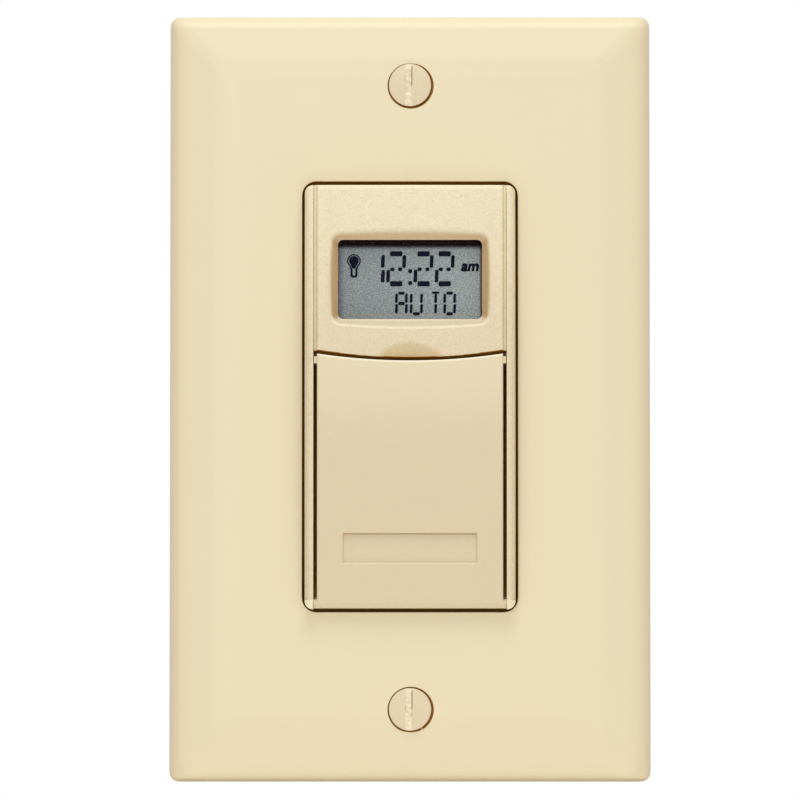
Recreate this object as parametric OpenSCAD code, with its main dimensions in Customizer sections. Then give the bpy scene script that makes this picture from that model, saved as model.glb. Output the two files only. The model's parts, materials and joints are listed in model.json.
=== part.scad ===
// Timer light switch: a decorator wall plate round a digital timer with a display, a flip-down door
// that is also the on/off paddle, and the works behind a steel strap. Millimetres.
// The front faces -Y, +Z is up, y = 0 is the wall and the origin lies midway between the box screws.

/* [Wall plate] */
// Width of the plate
plate_w = 74.7; // [72:0.1:90]
// How far the plate reaches past each end of the strap
plate_reach = 7.05; // [6.5:0.05:18]
// Depth of the plate from the wall to its flat front
plate_d = 6.0; // [5.8:0.1:8]
// Wall thickness of the plate
plate_wall = 2.0; // [1.6:0.1:2.2]
// Height of the upright edge
plate_edge_h = 2.4; // [2:0.1:3]
// Width of the sloping border
plate_bevel_w = 8.6; // [5:0.1:10]
// Rounding of the border's edges
plate_edge_r = 3.0; // [2.4:0.1:3.2]
// Corner radius of the outline
plate_corner_r = 1.8; // [1:0.1:4]

/* [Timer face] */
// Width of the face
face_w = 32.6; // [32:0.1:33.4]
// How far the frame's flange reaches past each end of the face
flange_w = 2; // [1.8:0.1:2.6]
// Corner radius of the face
face_r = 1.8; // [1:0.1:3]
// Gap between the face and the plate's opening
face_gap = 0.4; // [0.2:0.05:0.8]
// How far the ends of the face stand out from the plate
face_proud = 2.0; // [1.6:0.1:3]
// Radius of the upright curve of the face
face_curve_r = 550; // [450:10:900]
// Width of each side rail
rail_w = 1.25; // [1:0.05:1.5]
// Gap between a rail and the door
side_gap = 0.55; // [0.4:0.05:0.7]
// Depth of the groove beside the bezel
groove_d = 0.5; // [0.3:0.1:0.9]
// Height of the bezel's lower edge above the middle, as a share of the face's height
split_share = 0.0925; // [0.085:0.0005:0.098]
// Radius of the bezel's lower edge
split_r = 95; // [70:1:200]
// Gap between the bezel and the door
split_gap = 0.45; // [0.3:0.05:0.7]
// Thickness of the deck behind the door
deck_t = 1.6; // [1.2:0.1:2]
// Chamfer at the foot of the rails
rail_chamfer = 0.6; // [0.3:0.1:0.7]

/* [Bezel and display] */
// Thickness of the bezel's skin
bezel_t = 1.6; // [1.3:0.1:1.7]
// Thickness of the bezel's skirt
skirt_t = 1.2; // [0.9:0.1:1.3]
// Width of the display window
window_w = 22.3; // [20:0.1:22.6]
// Height of the display window
window_h = 12.1; // [10:0.1:12.4]
// Height of the window's middle above the middle, as a share of the face's height
window_share = 0.2758; // [0.272:0.0002:0.278]
// Corner radius of the window
window_r = 0.8; // [0.3:0.1:2]
// Depth of the funnel round the window
funnel_d = 1.9; // [1.7:0.1:2.1]
// How far the funnel's mouth reaches past the middle of each side of the window
funnel_run = 1.25; // [0.6:0.05:1.5]
// How far the funnel's mouth reaches past the corners of the window
funnel_corner = 0.3; // [0.2:0.05:0.5]
// Thickness of the clear window
lens_t = 1.0; // [0.8:0.1:1.2]
// How far the clear window reaches past its opening
lens_lip = 1.0; // [0.6:0.1:1]
// Thickness of each glass of the display
glass_t = 1.1; // [0.7:0.1:1.2]
// Height of the display's contact ledges
lcd_ledge = 2.0; // [1.6:0.1:2.2]
// Width of the thumb scoop under the window
scoop_w = 9.1; // [6:0.1:12]
// Depth of the thumb scoop
scoop_d = 1.1; // [0.6:0.1:1.2]
// Rise of the thumb scoop above the bezel's lower edge
scoop_rise = 2.5; // [1.5:0.1:3]

/* [Door] */
// Thickness of the door
door_t = 1.7; // [1.4:0.1:1.9]
// Diameter of the hinge pin
pin_d = 1.0; // [0.8:0.05:1.1]
// Wall of the hinge barrel round the pin
barrel_wall = 0.3; // [0.25:0.05:0.35]
// Running clearance round the pin
pin_clear = 0.05; // [0.02:0.01:0.08]
// Width of the plaque
plaque_w = 20.7; // [16:0.1:24]
// Height of the plaque
plaque_h = 4.5; // [3:0.1:6]
// Depth of the plaque's recess
plaque_d = 0.25; // [0.1:0.05:0.5]
// Height of the plaque's middle above the foot of the face
plaque_rise = 9.3; // [7:0.1:12]

/* [Strap and screws] */
// Thickness of the strap
strap_t = 1.2; // [1:0.1:1.4]
// How far the strap reaches past each plate screw
strap_tab = 4.08; // [3:0.01:6]
// Width of the strap's ears
ear_w = 33; // [30:0.5:40]
// Distance between the box screws
box_pitch = 83.34; // [83:0.01:84]
// Distance from a box screw to the plate screw beyond it
plate_screw_gap = 6.75; // [6.6:0.01:7]
// Thread diameter of the box and plate screws
screw_d = 3.5; // [3:0.1:3.6]
// Length of the box screws behind the strap
box_screw_l = 25; // [15:0.5:32]
// Head diameter of the plate screws
plate_head_d = 6.6; // [6:0.1:7]
// Width of the slot in a plate screw
slot_w = 1.05; // [0.8:0.05:1.2]

/* [Keys] */
// Width of a key
key_w = 7; // [5:0.1:7.2]
// Height of a key
key_h = 5; // [4:0.1:6]
// Gap between a rail and the nearest key
key_margin = 2.55; // [2.2:0.05:2.75]
// How far the row of keys lies below the middle, as a share of the face's height
key_share = 0.1515; // [0.13:0.0005:0.17]
// How far a key stands out of the deck
key_proud = 1.3; // [0.8:0.1:1.5]
// Travel of a key
key_travel = 0.5; // [0.3:0.05:0.5]
// Gap between a key and the deck
key_clear = 0.2; // [0.15:0.05:0.3]
// Diameter of the override plunger
plunger_d = 3; // [2.5:0.1:3.2]
// Height of the override plunger above the middle, as a share of the face's height
plunger_share = 0.0227; // [0.008:0.0001:0.024]
// Diameter of the reset button
reset_d = 2.2; // [1.6:0.1:2.6]
// How far the reset button lies below the middle, as a share of the face's height
reset_share = 0.303; // [0.28:0.0005:0.32]

/* [Rear case and boards] */
// Width of the case
case_w = 44; // [43.4:0.1:48]
// Distance from a box screw to the end of the case
case_clear = 6.67; // [6:0.01:6.8]
// Depth of the case behind the wall line
case_d = 30; // [29.6:0.1:36]
// Wall thickness of the case
case_wall = 1.6; // [1.2:0.1:2]
// Corner radius of the case
case_r = 3; // [2.4:0.1:4]
// Distance of the case screws from the sides of the case
case_screw_inset = 3.4; // [3.2:0.1:3.6]
// Thickness of the boards
board_t = 1.6; // [1.2:0.1:2]
// Width of the power board
power_w = 36; // [35:0.1:36.4]
// Gap between the power board and each end of the case
power_gap = 6.5; // [6.3:0.1:7]
// Length of the posts that carry the power board
power_post_l = 5.8; // [4:0.1:6.2]
// Diameter of a lead bush's bore
lead_d = 3.2; // [2.4:0.1:3.6]
// Distance between lead bushes
lead_pitch = 9; // [8:0.1:10]

/* [Relay] */
// Width of the relay
relay_w = 12.4; // [11.6:0.1:12.8]
// Length of the relay, as a share of the power board's height
relay_share = 0.491; // [0.47:0.001:0.51]
// Gap between the relay and the cell in front of it
relay_gap = 0.9; // [0.7:0.1:1.5]
// Wall of the relay's cover
relay_wall = 0.8; // [0.6:0.1:0.9]

/* [Hidden] */

$fn = 48;
over = 1;          // how far a cut runs past the face it cuts
seat = 0.05;       // gap between pieces that rest on each other
slip = 0.1;        // gap round a piece that drops into a pocket

// Colours
ivory = [0.92, 0.86, 0.72];
ivory_dark = [0.86, 0.79, 0.65];
steel = [0.72, 0.73, 0.74];
black = [0.12, 0.12, 0.13];
white = [0.93, 0.93, 0.9];
board_green = [0.1, 0.36, 0.2];
copper = [0.75, 0.42, 0.22];
brass = [0.8, 0.66, 0.3];

// Heights, worked out from the distance between the box screws
plate_pitch = box_pitch + 2 * plate_screw_gap;
strap_l = plate_pitch + 2 * strap_tab;
plate_h = strap_l + 2 * plate_reach;
case_h = box_pitch - 2 * case_clear;
face_h = case_h - 2 * flange_w;
power_h = case_h - 2 * power_gap;

// Depths, front to back along Y
opening_w = face_w + 2 * face_gap;
opening_h = face_h + 2 * face_gap;
face_end_y = -plate_d - face_proud;
face_apex_y = face_end_y - face_curve_r + sqrt(pow(face_curve_r, 2) - pow(face_h / 2, 2));
far_front = face_apex_y - over;
flange_t = 1.5;
flange_front = -strap_t - flange_t;
plate_inner_y = -plate_d + plate_wall;
board_front = 1.0;
board_back = board_front + board_t;
switch_h = 2.0;
switch_w = 6;
switch_front = board_front - switch_h;
stem_d = 3.2;
stem_proud = 0.8;
stem_back = board_front - key_travel - 3 * slip;
key_flange_t = 1.0;
key_flange_w = 0.6;
key_flange_back = switch_front - stem_proud;
key_flange_front = key_flange_back - key_flange_t;
deck_back = key_flange_front - seat;
deck_front = deck_back - deck_t;
key_front = deck_front - key_proud;
plunger_proud = 1.6;
plunger_front = deck_front - plunger_proud;
case_back_in = case_d - case_wall;
power_back = case_back_in - power_post_l;
power_front = power_back - board_t;

// Screw heads, the plate screws flush with the plate
screw_r = screw_d / 2;
plate_head_r = plate_head_d / 2;
plate_head_gap = 0.2;
plate_screw_end = 3.6;
slot_d = 0.9;
head_rim_h = 0.4;
head_dome_h = 0.5;
head_cone_h = plate_wall - head_rim_h - slip;

// The face: rails, channel, bezel and door
channel_w = face_w - 2 * rail_w;
panel_w = channel_w - 2 * side_gap;
end_wall = 1.5;
pocket_h = face_h - 2 * end_wall;
split_z = split_share * face_h;
split_centre_z = split_z + split_r;
split_top_z = split_centre_z - sqrt(pow(split_r, 2) - pow(panel_w / 2, 2));
barrel_r = pin_d / 2 + pin_clear + barrel_wall;
barrel_gap = 0.3;
barrel_l = channel_w - 2 * slip;
hinge_z = -face_h / 2 + barrel_r;
hinge_y = face_y(hinge_z) + barrel_r + slip;
foot_wall_front = hinge_y + barrel_r + barrel_gap;
top_wall_front = face_end_y + bezel_t + seat;
door_skirt_d = 0.8;
door_skirt_w = 1.2;
door_skirt_inset = 2;
nub_h = 1.1;
nub_d = 1.3;
nub_l = side_gap - slip;
nub_rise = 0.2;
nub_front = face_y(split_z) + groove_d;
plaque_z = plaque_rise - face_h / 2;
scoop_r = arc_r(scoop_w / 2, scoop_d);

// The display stack
window_z = window_share * face_h;
lens_front = face_y(window_z) + funnel_d;
lens_back = lens_front + lens_t;
lens_w = window_w + 2 * lens_lip;
lens_h = window_h + 2 * lens_lip;
lens_rim = 0.9;
lcd_lap = 0.3;
lcd_w = lens_w + 2 * lcd_lap;
lcd_h = window_h + 2 * lcd_ledge + 8 * slip;
lcd_step = 1;
lcd_front = lens_back + seat;
lcd_mid = lcd_front + glass_t;
lcd_rear = lcd_mid + glass_t;
reflector_t = 0.3;
holder_wall = 0.6;
holder_lip = 0.5;
holder_w = lcd_w + 2 * slip + 2 * holder_wall;
holder_h = lcd_h + 2 * slip + 2 * holder_wall;
holder_front = lcd_front + 2 * slip;

// Posts and screws that hold the logic board
post_r = 1.8;
post_x = 11;
post_lift = 2.5;
post_top_z = pocket_h / 2 - post_r - slip;
post_foot_z = -pocket_h / 2 + post_r + post_lift;
board_margin = 2.5;
board_h = 2 * (post_top_z + board_margin);
board_screw_r = 1.0;
board_head_r = 1.9;
board_head_h = 1.2;
bite = 3;          // how deep a board screw goes into its post
bite_clear = 0.3;  // how much deeper its hole is

// Case screws run through the case, the strap and the flange of the face frame
case_in_w = case_w - 2 * case_wall;
case_in_h = case_h - 2 * case_wall;
case_screw_x = case_w / 2 - case_screw_inset;
case_screw_z = case_h / 2 - case_screw_inset;
case_screw_r = 1.25;
case_head_r = 2.1;
case_head_h = 1.6;
case_head_sink = 0.4;
case_slot_w = 0.7;
column_r = 2.6;
board_w = 2 * (case_screw_x - column_r - 5 * slip);
counterbore_y = case_d - case_head_h - case_head_sink;
boss_h = 1.2;
boss_r = 2.3;
boss_skin = 0.4;
boss_front = max(plate_inner_y + 2 * slip, flange_front - boss_h);
power_post_inset = 3;
power_post_x = power_w / 2 - power_post_inset;
power_post_z = power_h / 2 - power_post_inset;

// Strap
strap_lap_x = 0.5;
strap_lap_z = 1;
strap_body_w = case_w + 2 * strap_lap_x;
strap_body_h = case_h + 2 * strap_lap_z;
strap_window_w = channel_w + 8 * slip;
strap_window_h = pocket_h;
strap_r = 2;
box_head_r = 3.4;
box_head_h = 1.5;
neck_in = 0.35;
rivet_r = 1.2;
rivet_head_h = 0.8;
rivet_side_in = 4.5;
rivet_end_in = 8.5;
rivet_x = ear_w / 2 - rivet_side_in;
rivet_z = strap_l / 2 - rivet_end_in;
sheet_t = 0.3;

// Keys and the parts on the logic board
key_pitch = (channel_w - key_w) / 2 - key_margin;
key_x = [-key_pitch, 0, key_pitch];
key_z = -key_share * face_h;
key_r = 1;
plunger_z = plunger_share * face_h;
reset_z = -reset_share * face_h;
push_flange_w = 1;
chip_w = 10;
chip_t = 1.4;
chip_drop = 2;
chip_z = window_z - chip_drop;
chip_leg_l = 1.2;
chip_leg_w = 0.4;
chip_leg_step = 1;
chip_legs = 8;
crystal_r = 1.1;
crystal_l = 6;
crystal_pad_w = 1.4;
crystal_pad_l = 4;
crystal_in = 5.5;
crystal_drop = 14;
crystal_x = board_w / 2 - crystal_in;
crystal_z = window_z - crystal_drop;
cell_share = 0.1515;
cell_r = cell_share * face_h;
cell_t = 3.2;
cell_drop = 2;
cell_z = key_z - cell_drop;
clip_t = 0.3;
clip_w = 5;
clip_back = board_back + cell_t + clip_t;
header_lift = 1;
header_z = post_foot_z + header_lift;
header_pitch = 2.54;
header_pins = 6;
header_pin_w = 0.64;
header_block_w = 2.5;
header_l = header_pins * header_pitch;

// Relay, on the front of the power board
relay_l = relay_share * power_h;
relay_margin = 2.2;
relay_x = -power_w / 2 + relay_w / 2 + relay_margin;
relay_rise_share = 0.105;
relay_z = relay_rise_share * power_h;
relay_base_t = 1.5;
relay_floor = power_front - relay_base_t;
relay_top = clip_back + relay_gap;
relay_foot_z = relay_z - relay_l / 2;
yoke_t = 1.0;
yoke_w = 8;
yoke_gap = 0.25;
yoke_front = relay_top + relay_wall + yoke_gap;
cheek_w = 0.8;
cheek_h = 4;
coil_room = relay_floor - yoke_front - yoke_t;
coil_flange_share = 0.363;
coil_flange_r = coil_flange_share * coil_room;
coil_flange_t = 0.8;
coil_share = 0.464;
coil_l = coil_share * relay_l;
coil_tube = coil_flange_r / 6.3;
coil_r = coil_flange_r - coil_tube;
core_r = coil_flange_r / 1.9;
core_proud = 0.6;
coil_y = yoke_front + yoke_t + coil_flange_r + slip;
coil_foot_z = relay_foot_z + relay_wall + yoke_gap + yoke_t;
coil_top_z = coil_foot_z + coil_l;
bobbin_top_z = coil_top_z - core_proud;
armature_t = 1.0;
armature_gap = 0.55;
armature_w = yoke_w - 4 * slip;
armature_foot_z = coil_top_z + armature_gap;
armature_lap = 0.6;
armature_back = coil_y + core_r + armature_lap;
pivot_r = 0.5;
pivot_y = yoke_front + pivot_r;
pivot_z = armature_foot_z + armature_t / 2;
contact_r = 1.1;
contact_t = 0.4;
contact_gap = 0.62;
contact_lift = 0.5;
contact_y = relay_floor - contact_r - contact_lift;
blade_w = 4;

// Other parts on the power board, beside and below the relay
right_x = (relay_x + relay_w / 2 + power_w / 2) / 2;
part_share = 0.786;
part_h = part_share * (power_front - relay_top);
lead_wire_w = 0.6;
lead_wire_out = 1.2;
lead_wire_lift = 0.4;
film_rise_share = 0.272;
film_z = film_rise_share * power_h;
film_w = 15;
film_h = 7;
film_r = 1;
varistor_share = 0.44;
varistor_z = relay_z;
varistor_r = varistor_share * part_h;
varistor_t = 3.2;
varistor_leg_x = 2.5;
can_drop_share = 0.0877;
can_z = -can_drop_share * power_h;
can_r = 4;
can_top_r = 3.3;
can_gap = 0.8;
can_x = can_r + can_gap / 2;
diode_drop_shares = [0.228, 0.298];
diode_r = 1.3;
diode_l = 5;
diode_x = 4.6;
resistor_drop_shares = [0.2105, 0.307];
resistor_r = 2;
resistor_l = 8;
resistor_shift = 1;
resistor_x = relay_x + resistor_shift;

// Lead bushes, in the back of the case
lead_drop = 5.5;
lead_z = power_post_z - lead_drop;
bush_wall = 0.9;
bush_lip_w = 1;
bush_lip_t = 1;
bush_in = 0.8;
bush_r = lead_d / 2 + bush_wall;

// Y of the curved front of the face at height z
function face_y(z) = face_apex_y + face_curve_r - sqrt(pow(face_curve_r, 2) - pow(z, 2));

// Radius of an arc from its half chord and its rise
function arc_r(half, rise) = (pow(half, 2) + pow(rise, 2)) / (2 * rise);

// Shapes that repeat

module at(x, z) translate([x, 0, z]) children();

module corners(x, z) for (sx = [-1, 1], sz = [-1, 1]) at(sx * x, sz * z) children();

module corners_2d(x, z) for (sx = [-1, 1], sz = [-1, 1]) translate([sx * x, sz * z]) children();

module ends(z) for (s = [-1, 1]) at(0, s * z) children();

// An outline drawn in X and Z, made solid between two depths
module layer(front, back)
    translate([0, back, 0]) rotate([90, 0, 0]) linear_extrude(back - front) children();

// A round bar along Y
module rod(r, front, back, r_back = -1)
    translate([0, front, 0]) rotate([-90, 0, 0])
        cylinder(r1 = r, r2 = r_back < 0 ? r : r_back, h = back - front);

// A round bar along X, centred
module bar_x(r, l) rotate([0, 90, 0]) cylinder(r = r, h = l, center = true);

// A round bar along Z
module bar_z(r, foot, top) translate([0, 0, foot]) cylinder(r = r, h = top - foot);

module rounded(w, h, r) offset(r = r) square([w - 2 * r, h - 2 * r], center = true);

module slab(w, h, front, back) layer(front, back) square([w, h], center = true);

// Everything behind the curved front of the face, set back by an inset
module behind_face(inset = 0)
    translate([0, face_apex_y + face_curve_r, 0])
        rotate([0, 90, 0]) cylinder(r = face_curve_r - inset, h = 2 * face_w, center = true, $fn = 360);

module face_skin(t) {
    difference() {
        intersection() {
            layer(far_front, deck_front) children();
            behind_face();
        }
        behind_face(t);
    }
}

// Wall plate

module bevel_outline(w, d, edge, bevel, r)
    intersection() {
        translate([-w / 2, 0]) square([w, d]);
        offset(r = r, $fn = 32) offset(delta = -r)
            polygon([
                [-w / 2, -4 * r], [w / 2, -4 * r], [w / 2, edge],
                [w / 2 - bevel, d], [bevel - w / 2, d], [-w / 2, edge]
            ]);
    }

module bevelled_block(w, h, d, edge, bevel, r, corner)
    intersection() {
        mirror([0, 1, 0]) linear_extrude(h + 2 * over, center = true)
            bevel_outline(w, d, edge, bevel, r);
        mirror([0, 1, 0]) rotate([0, -90, 0]) linear_extrude(w + 2 * over, center = true)
            bevel_outline(h, d, edge, bevel, r);
        layer(-d - over, over) rounded(w, h, corner, $fn = 32);
    }

module wall_plate()
    color(ivory) difference() {
        bevelled_block(plate_w, plate_h, plate_d, plate_edge_h, plate_bevel_w, plate_edge_r,
            plate_corner_r);
        translate([0, over, 0])
            bevelled_block(plate_w - 2 * plate_wall, plate_h - 2 * plate_wall, plate_d - plate_wall + over,
                plate_edge_h - plate_wall / 2 + over, plate_bevel_w, plate_edge_r - plate_wall,
                plate_corner_r / 2);
        layer(-plate_d - over, over) rounded(opening_w, opening_h, face_r + face_gap);
        ends(plate_pitch / 2) {
            rod(plate_head_r + plate_head_gap, -plate_d - over, -plate_d + head_rim_h);
            rod(plate_head_r + plate_head_gap, -plate_d + head_rim_h, plate_inner_y,
                screw_r + plate_head_gap);
            rod(screw_r + plate_head_gap, plate_inner_y - seat, over);
        }
    }

// An oval head whose rim lies flush with the plate
module plate_screw() {
    dome_r = arc_r(plate_head_r, head_dome_h);
    cone_front = -plate_d + head_rim_h;
    difference() {
        union() {
            intersection() {
                translate([0, -plate_d - head_dome_h + dome_r, 0]) sphere(dome_r, $fn = 128);
                rod(plate_head_r, -plate_d - over, cone_front);
            }
            rod(plate_head_r, cone_front, cone_front + head_cone_h, screw_r - seat);
            rod(screw_r - seat, cone_front + head_cone_h - seat, plate_screw_end);
        }
        slab(slot_w, 3 * plate_head_r, -plate_d - over, -plate_d + slot_d);
    }
}

module plate_screws() color(ivory_dark) ends(plate_pitch / 2) plate_screw();

// Strap, its screws and its insulation

module strap_outline()
    difference() {
        union() {
            rounded(ear_w, strap_l, strap_r);
            rounded(strap_body_w, strap_body_h, strap_r);
        }
        rounded(strap_window_w, strap_window_h, strap_r);
    }

module mounting_strap()
    color(steel) difference() {
        layer(-strap_t, 0) strap_outline();
        ends(plate_pitch / 2) rod(screw_r, -strap_t - over, over);
        ends(box_pitch / 2) rod(screw_r + 2 * slip, -strap_t - over, over);
        corners(case_screw_x, case_screw_z) rod(case_screw_r + 2 * slip, -strap_t - over, over);
        at(rivet_x, rivet_z) rod(rivet_r + seat, -strap_t - over, over);
    }

// The neck in the strap is thinner than the thread behind it, so the screw stays captive
module box_screws()
    color(steel) ends(box_pitch / 2) difference() {
        union() {
            rod(box_head_r, -strap_t - box_head_h, -strap_t);
            rod(screw_r - neck_in, -strap_t - seat, 0);
            rod(screw_r, 0, box_screw_l);
        }
        slab(slot_w, 3 * box_head_r, -strap_t - box_head_h - over, -strap_t - box_head_h / 2);
    }

module ground_rivet()
    color(brass) at(rivet_x, rivet_z) {
        union() {
            rod(2 * rivet_r, -strap_t - rivet_head_h, -strap_t);
            rod(rivet_r, -strap_t - seat, seat);
            rod(2 * rivet_r, 0, rivet_head_h);
        }
    }

module insulating_sheet()
    color([0.35, 0.3, 0.25]) layer(0, sheet_t) difference() {
        square([case_in_w - 4 * slip, case_in_h - 4 * slip], center = true);
        rounded(strap_window_w, strap_window_h, strap_r);
        corners_2d(case_screw_x, case_screw_z) circle(column_r + 2 * slip);
        corners_2d(case_in_w / 2, case_in_h / 2) square(2 * case_screw_inset, center = true);
    }

// Front of the timer

module face_frame()
    color(ivory) union() {
        difference() {
            union() {
                layer(flange_front, -strap_t) rounded(case_w, case_h, case_r);
                intersection() {
                    layer(far_front, -strap_t) rounded(face_w, face_h, face_r);
                    behind_face();
                }
                corners(case_screw_x, case_screw_z) rod(boss_r, boss_front, flange_front + seat);
            }
            slab(channel_w, pocket_h, deck_back, over);
            slab(channel_w, pocket_h, far_front, deck_front);
            at(0, face_h / 2) slab(channel_w, 4 * end_wall, far_front, top_wall_front);
            at(0, -face_h / 2) slab(channel_w, 4 * end_wall, far_front, foot_wall_front);
            at(0, window_z)
                slab(holder_w + 4 * slip, holder_h + 4 * slip, deck_front - over, deck_back + over);
            for (x = key_x) at(x, key_z)
                layer(deck_front - over, deck_back + over)
                    rounded(key_w + 2 * key_clear, key_h + 2 * key_clear, key_r);
            at(0, plunger_z) rod(plunger_d / 2 + slip, deck_front - over, deck_back + over);
            at(0, reset_z) rod(reset_d / 2 + slip, deck_front - over, deck_back + over);
            translate([0, hinge_y, hinge_z]) bar_x(pin_d / 2 + pin_clear, face_w + 2 * over);
            translate([0, face_end_y, -face_h / 2]) rotate([45, 0, 0])
                cube([face_w + 2 * over, rail_chamfer * sqrt(2), rail_chamfer * sqrt(2)], center = true);
            corners(case_screw_x, case_screw_z) rod(case_screw_r + seat, boss_front + boss_skin, over);
        }
        for (sx = [-1, 1], z = [post_top_z, post_foot_z]) at(sx * post_x, z) difference() {
            rod(post_r, deck_back - seat, board_front);
            rod(board_screw_r + seat, board_front - bite - bite_clear, board_front + over);
        }
    }

module inside_split(gap = 0) translate([0, split_centre_z]) circle(split_r + gap, $fn = 360);

module bezel_outline()
    intersection() {
        translate([-panel_w / 2, 0]) square([panel_w, face_h / 2]);
        inside_split();
    }

module skirt_outline() {
    skirt_w = channel_w - 2 * slip;
    skirt_top = pocket_h / 2 - slip;
    hole_foot = split_top_z + skirt_t;
    difference() {
        intersection() {
            translate([-skirt_w / 2, 0]) square([skirt_w, skirt_top]);
            inside_split();
        }
        translate([skirt_t + side_gap - skirt_w / 2, hole_foot])
            square([skirt_w - 2 * skirt_t - 2 * side_gap, skirt_top - skirt_t - hole_foot]);
    }
}

// The funnel's mouth bows out from the corners of the window to the middle of each side
module funnel_mouth() {
    rise = funnel_run - funnel_corner;
    top_r = arc_r(window_w / 2 + funnel_corner, rise);
    side_r = arc_r(window_h / 2 + funnel_corner, rise);
    intersection() {
        translate([0, window_h / 2 + funnel_run - top_r]) circle(top_r, $fn = 240);
        translate([0, top_r - window_h / 2 - funnel_run]) circle(top_r, $fn = 240);
        translate([window_w / 2 + funnel_run - side_r, 0]) circle(side_r, $fn = 120);
        translate([side_r - window_w / 2 - funnel_run, 0]) circle(side_r, $fn = 120);
    }
}

module display_bezel()
    color(ivory) difference() {
        union() {
            face_skin(bezel_t) bezel_outline();
            intersection() {
                layer(far_front, deck_front) skirt_outline();
                behind_face(groove_d);
            }
            intersection() {
                at(0, window_z) slab(lens_w + 2 * lens_rim, lens_h + 2 * lens_rim, far_front, lens_back);
                behind_face(groove_d);
            }
        }
        hull() {
            at(0, window_z) layer(lens_front - seat, lens_front + over)
                rounded(window_w, window_h, window_r, $fn = 32);
            at(0, window_z) layer(face_apex_y - seat, face_apex_y) funnel_mouth();
        }
        at(0, window_z) slab(lens_w + 2 * slip, lens_h + 2 * slip, lens_front, lens_back + over);
        translate([0, face_y(split_z) + scoop_d - scoop_r, split_z + scoop_rise - scoop_w / 2])
            sphere(scoop_r, $fn = 96);
    }

module display_window()
    color([0.8, 0.85, 0.85, 0.4]) at(0, window_z) slab(lens_w, lens_h, lens_front, lens_back);

module lcd_panel()
    color([0.56, 0.6, 0.58]) at(0, window_z) union() {
        slab(lcd_w, lcd_h, lcd_front, lcd_mid);
        slab(lcd_w - 2 * lcd_step, lcd_h - 2 * lcd_ledge, lcd_mid - seat, lcd_rear);
    }

module lcd_reflector()
    color(steel) at(0, window_z)
        slab(lcd_w - 3 * lcd_step, lcd_h - 2 * lcd_ledge - 4 * slip, lcd_rear, lcd_rear + reflector_t);

module lcd_holder()
    color(white) at(0, window_z) difference() {
        slab(holder_w, holder_h, holder_front, board_front);
        slab(lcd_w + 2 * slip, lcd_h + 2 * slip, holder_front - over, lcd_mid);
        slab(lcd_w - 2 * holder_lip, lcd_h - 2 * slip, lcd_mid - over, board_front + over);
    }

module connector_strips()
    color([0.85, 0.55, 0.6]) at(0, window_z) ends(lcd_h / 2 - lcd_ledge / 2)
        slab(lcd_w - 2 * lcd_step, lcd_ledge - 4 * slip, lcd_mid, board_front);

module hinge_pin()
    color(steel) translate([0, hinge_y, hinge_z]) bar_x(pin_d / 2, face_w - 4 * slip);

module door_outline()
    difference() {
        translate([-panel_w / 2, hinge_z]) square([panel_w, split_top_z - hinge_z]);
        inside_split(split_gap);
    }

module door()
    color(ivory) difference() {
        union() {
            face_skin(door_t) door_outline();
            for (s = [-1, 1]) {
                intersection() {
                    at(s * (panel_w - door_skirt_w) / 2, (hinge_z + split_z) / 2)
                        slab(door_skirt_w, split_z - hinge_z - 2 * door_skirt_inset, far_front,
                            hinge_y + door_skirt_d);
                    behind_face(groove_d);
                }
                at(s * (panel_w / 2 + nub_l / 2 - seat), split_z - nub_h / 2 + nub_rise)
                    slab(nub_l + 2 * seat, nub_h, nub_front, nub_front + nub_d);
            }
            translate([0, hinge_y, hinge_z]) bar_x(barrel_r, barrel_l);
            at(0, plunger_z) rod(plunger_d / 2, face_y(plunger_z) + groove_d, plunger_front - seat);
        }
        translate([0, hinge_y, hinge_z]) bar_x(pin_d / 2 + pin_clear, barrel_l + 2 * over);
        at(0, plaque_z) slab(plaque_w, plaque_h, far_front, face_y(plaque_z) + plaque_d);
    }

// Keys, each on the stem of its switch

module key(x)
    color(ivory_dark) at(x, key_z) union() {
        layer(key_front, key_flange_back) rounded(key_w, key_h, key_r - key_clear);
        slab(key_w + 2 * key_flange_w, key_h + 2 * key_flange_w, key_flange_front, key_flange_back);
    }

module stem(x, z) color(black) at(x, z) rod(stem_d / 2, key_flange_back, stem_back);

module mode_key() key(key_x[0]);
module minus_key() key(key_x[1]);
module plus_key() key(key_x[2]);
module mode_stem() stem(key_x[0], key_z);
module minus_stem() stem(key_x[1], key_z);
module plus_stem() stem(key_x[2], key_z);
module override_stem() stem(0, plunger_z);
module reset_stem() stem(0, reset_z);

module push_rod(d, front)
    union() {
        rod(d / 2, front, key_flange_back);
        rod(d / 2 + push_flange_w, key_flange_front, key_flange_back);
    }

module override_plunger() color(white) at(0, plunger_z) push_rod(plunger_d, plunger_front);
module reset_button() color(ivory_dark) at(0, reset_z) push_rod(reset_d, deck_front + 2 * slip);

module switch_body(x, z)
    at(x, z) difference() {
        slab(switch_w, switch_w, switch_front, board_front);
        rod(stem_d / 2 + slip, switch_front - over, board_front - slip);
    }

module switch_bodies()
    color(black) {
        for (x = key_x) switch_body(x, key_z);
        switch_body(0, plunger_z);
        switch_body(0, reset_z);
    }

// Logic board

module logic_board()
    color(board_green) difference() {
        slab(board_w, board_h, board_front, board_back);
        for (sx = [-1, 1], z = [post_top_z, post_foot_z])
            at(sx * post_x, z) rod(board_screw_r + slip, board_front - over, board_back + over);
    }

module board_screws()
    color(steel) {
        for (sx = [-1, 1], z = [post_top_z, post_foot_z]) at(sx * post_x, z) union() {
            rod(board_screw_r, board_front - bite, board_back + seat);
            rod(board_head_r, board_back, board_back + board_head_h);
        }
        corners(power_post_x, power_post_z) union() {
            rod(board_head_r, power_front - board_head_h, power_front);
            rod(board_screw_r, power_front - seat, power_back + bite);
        }
    }

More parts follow.
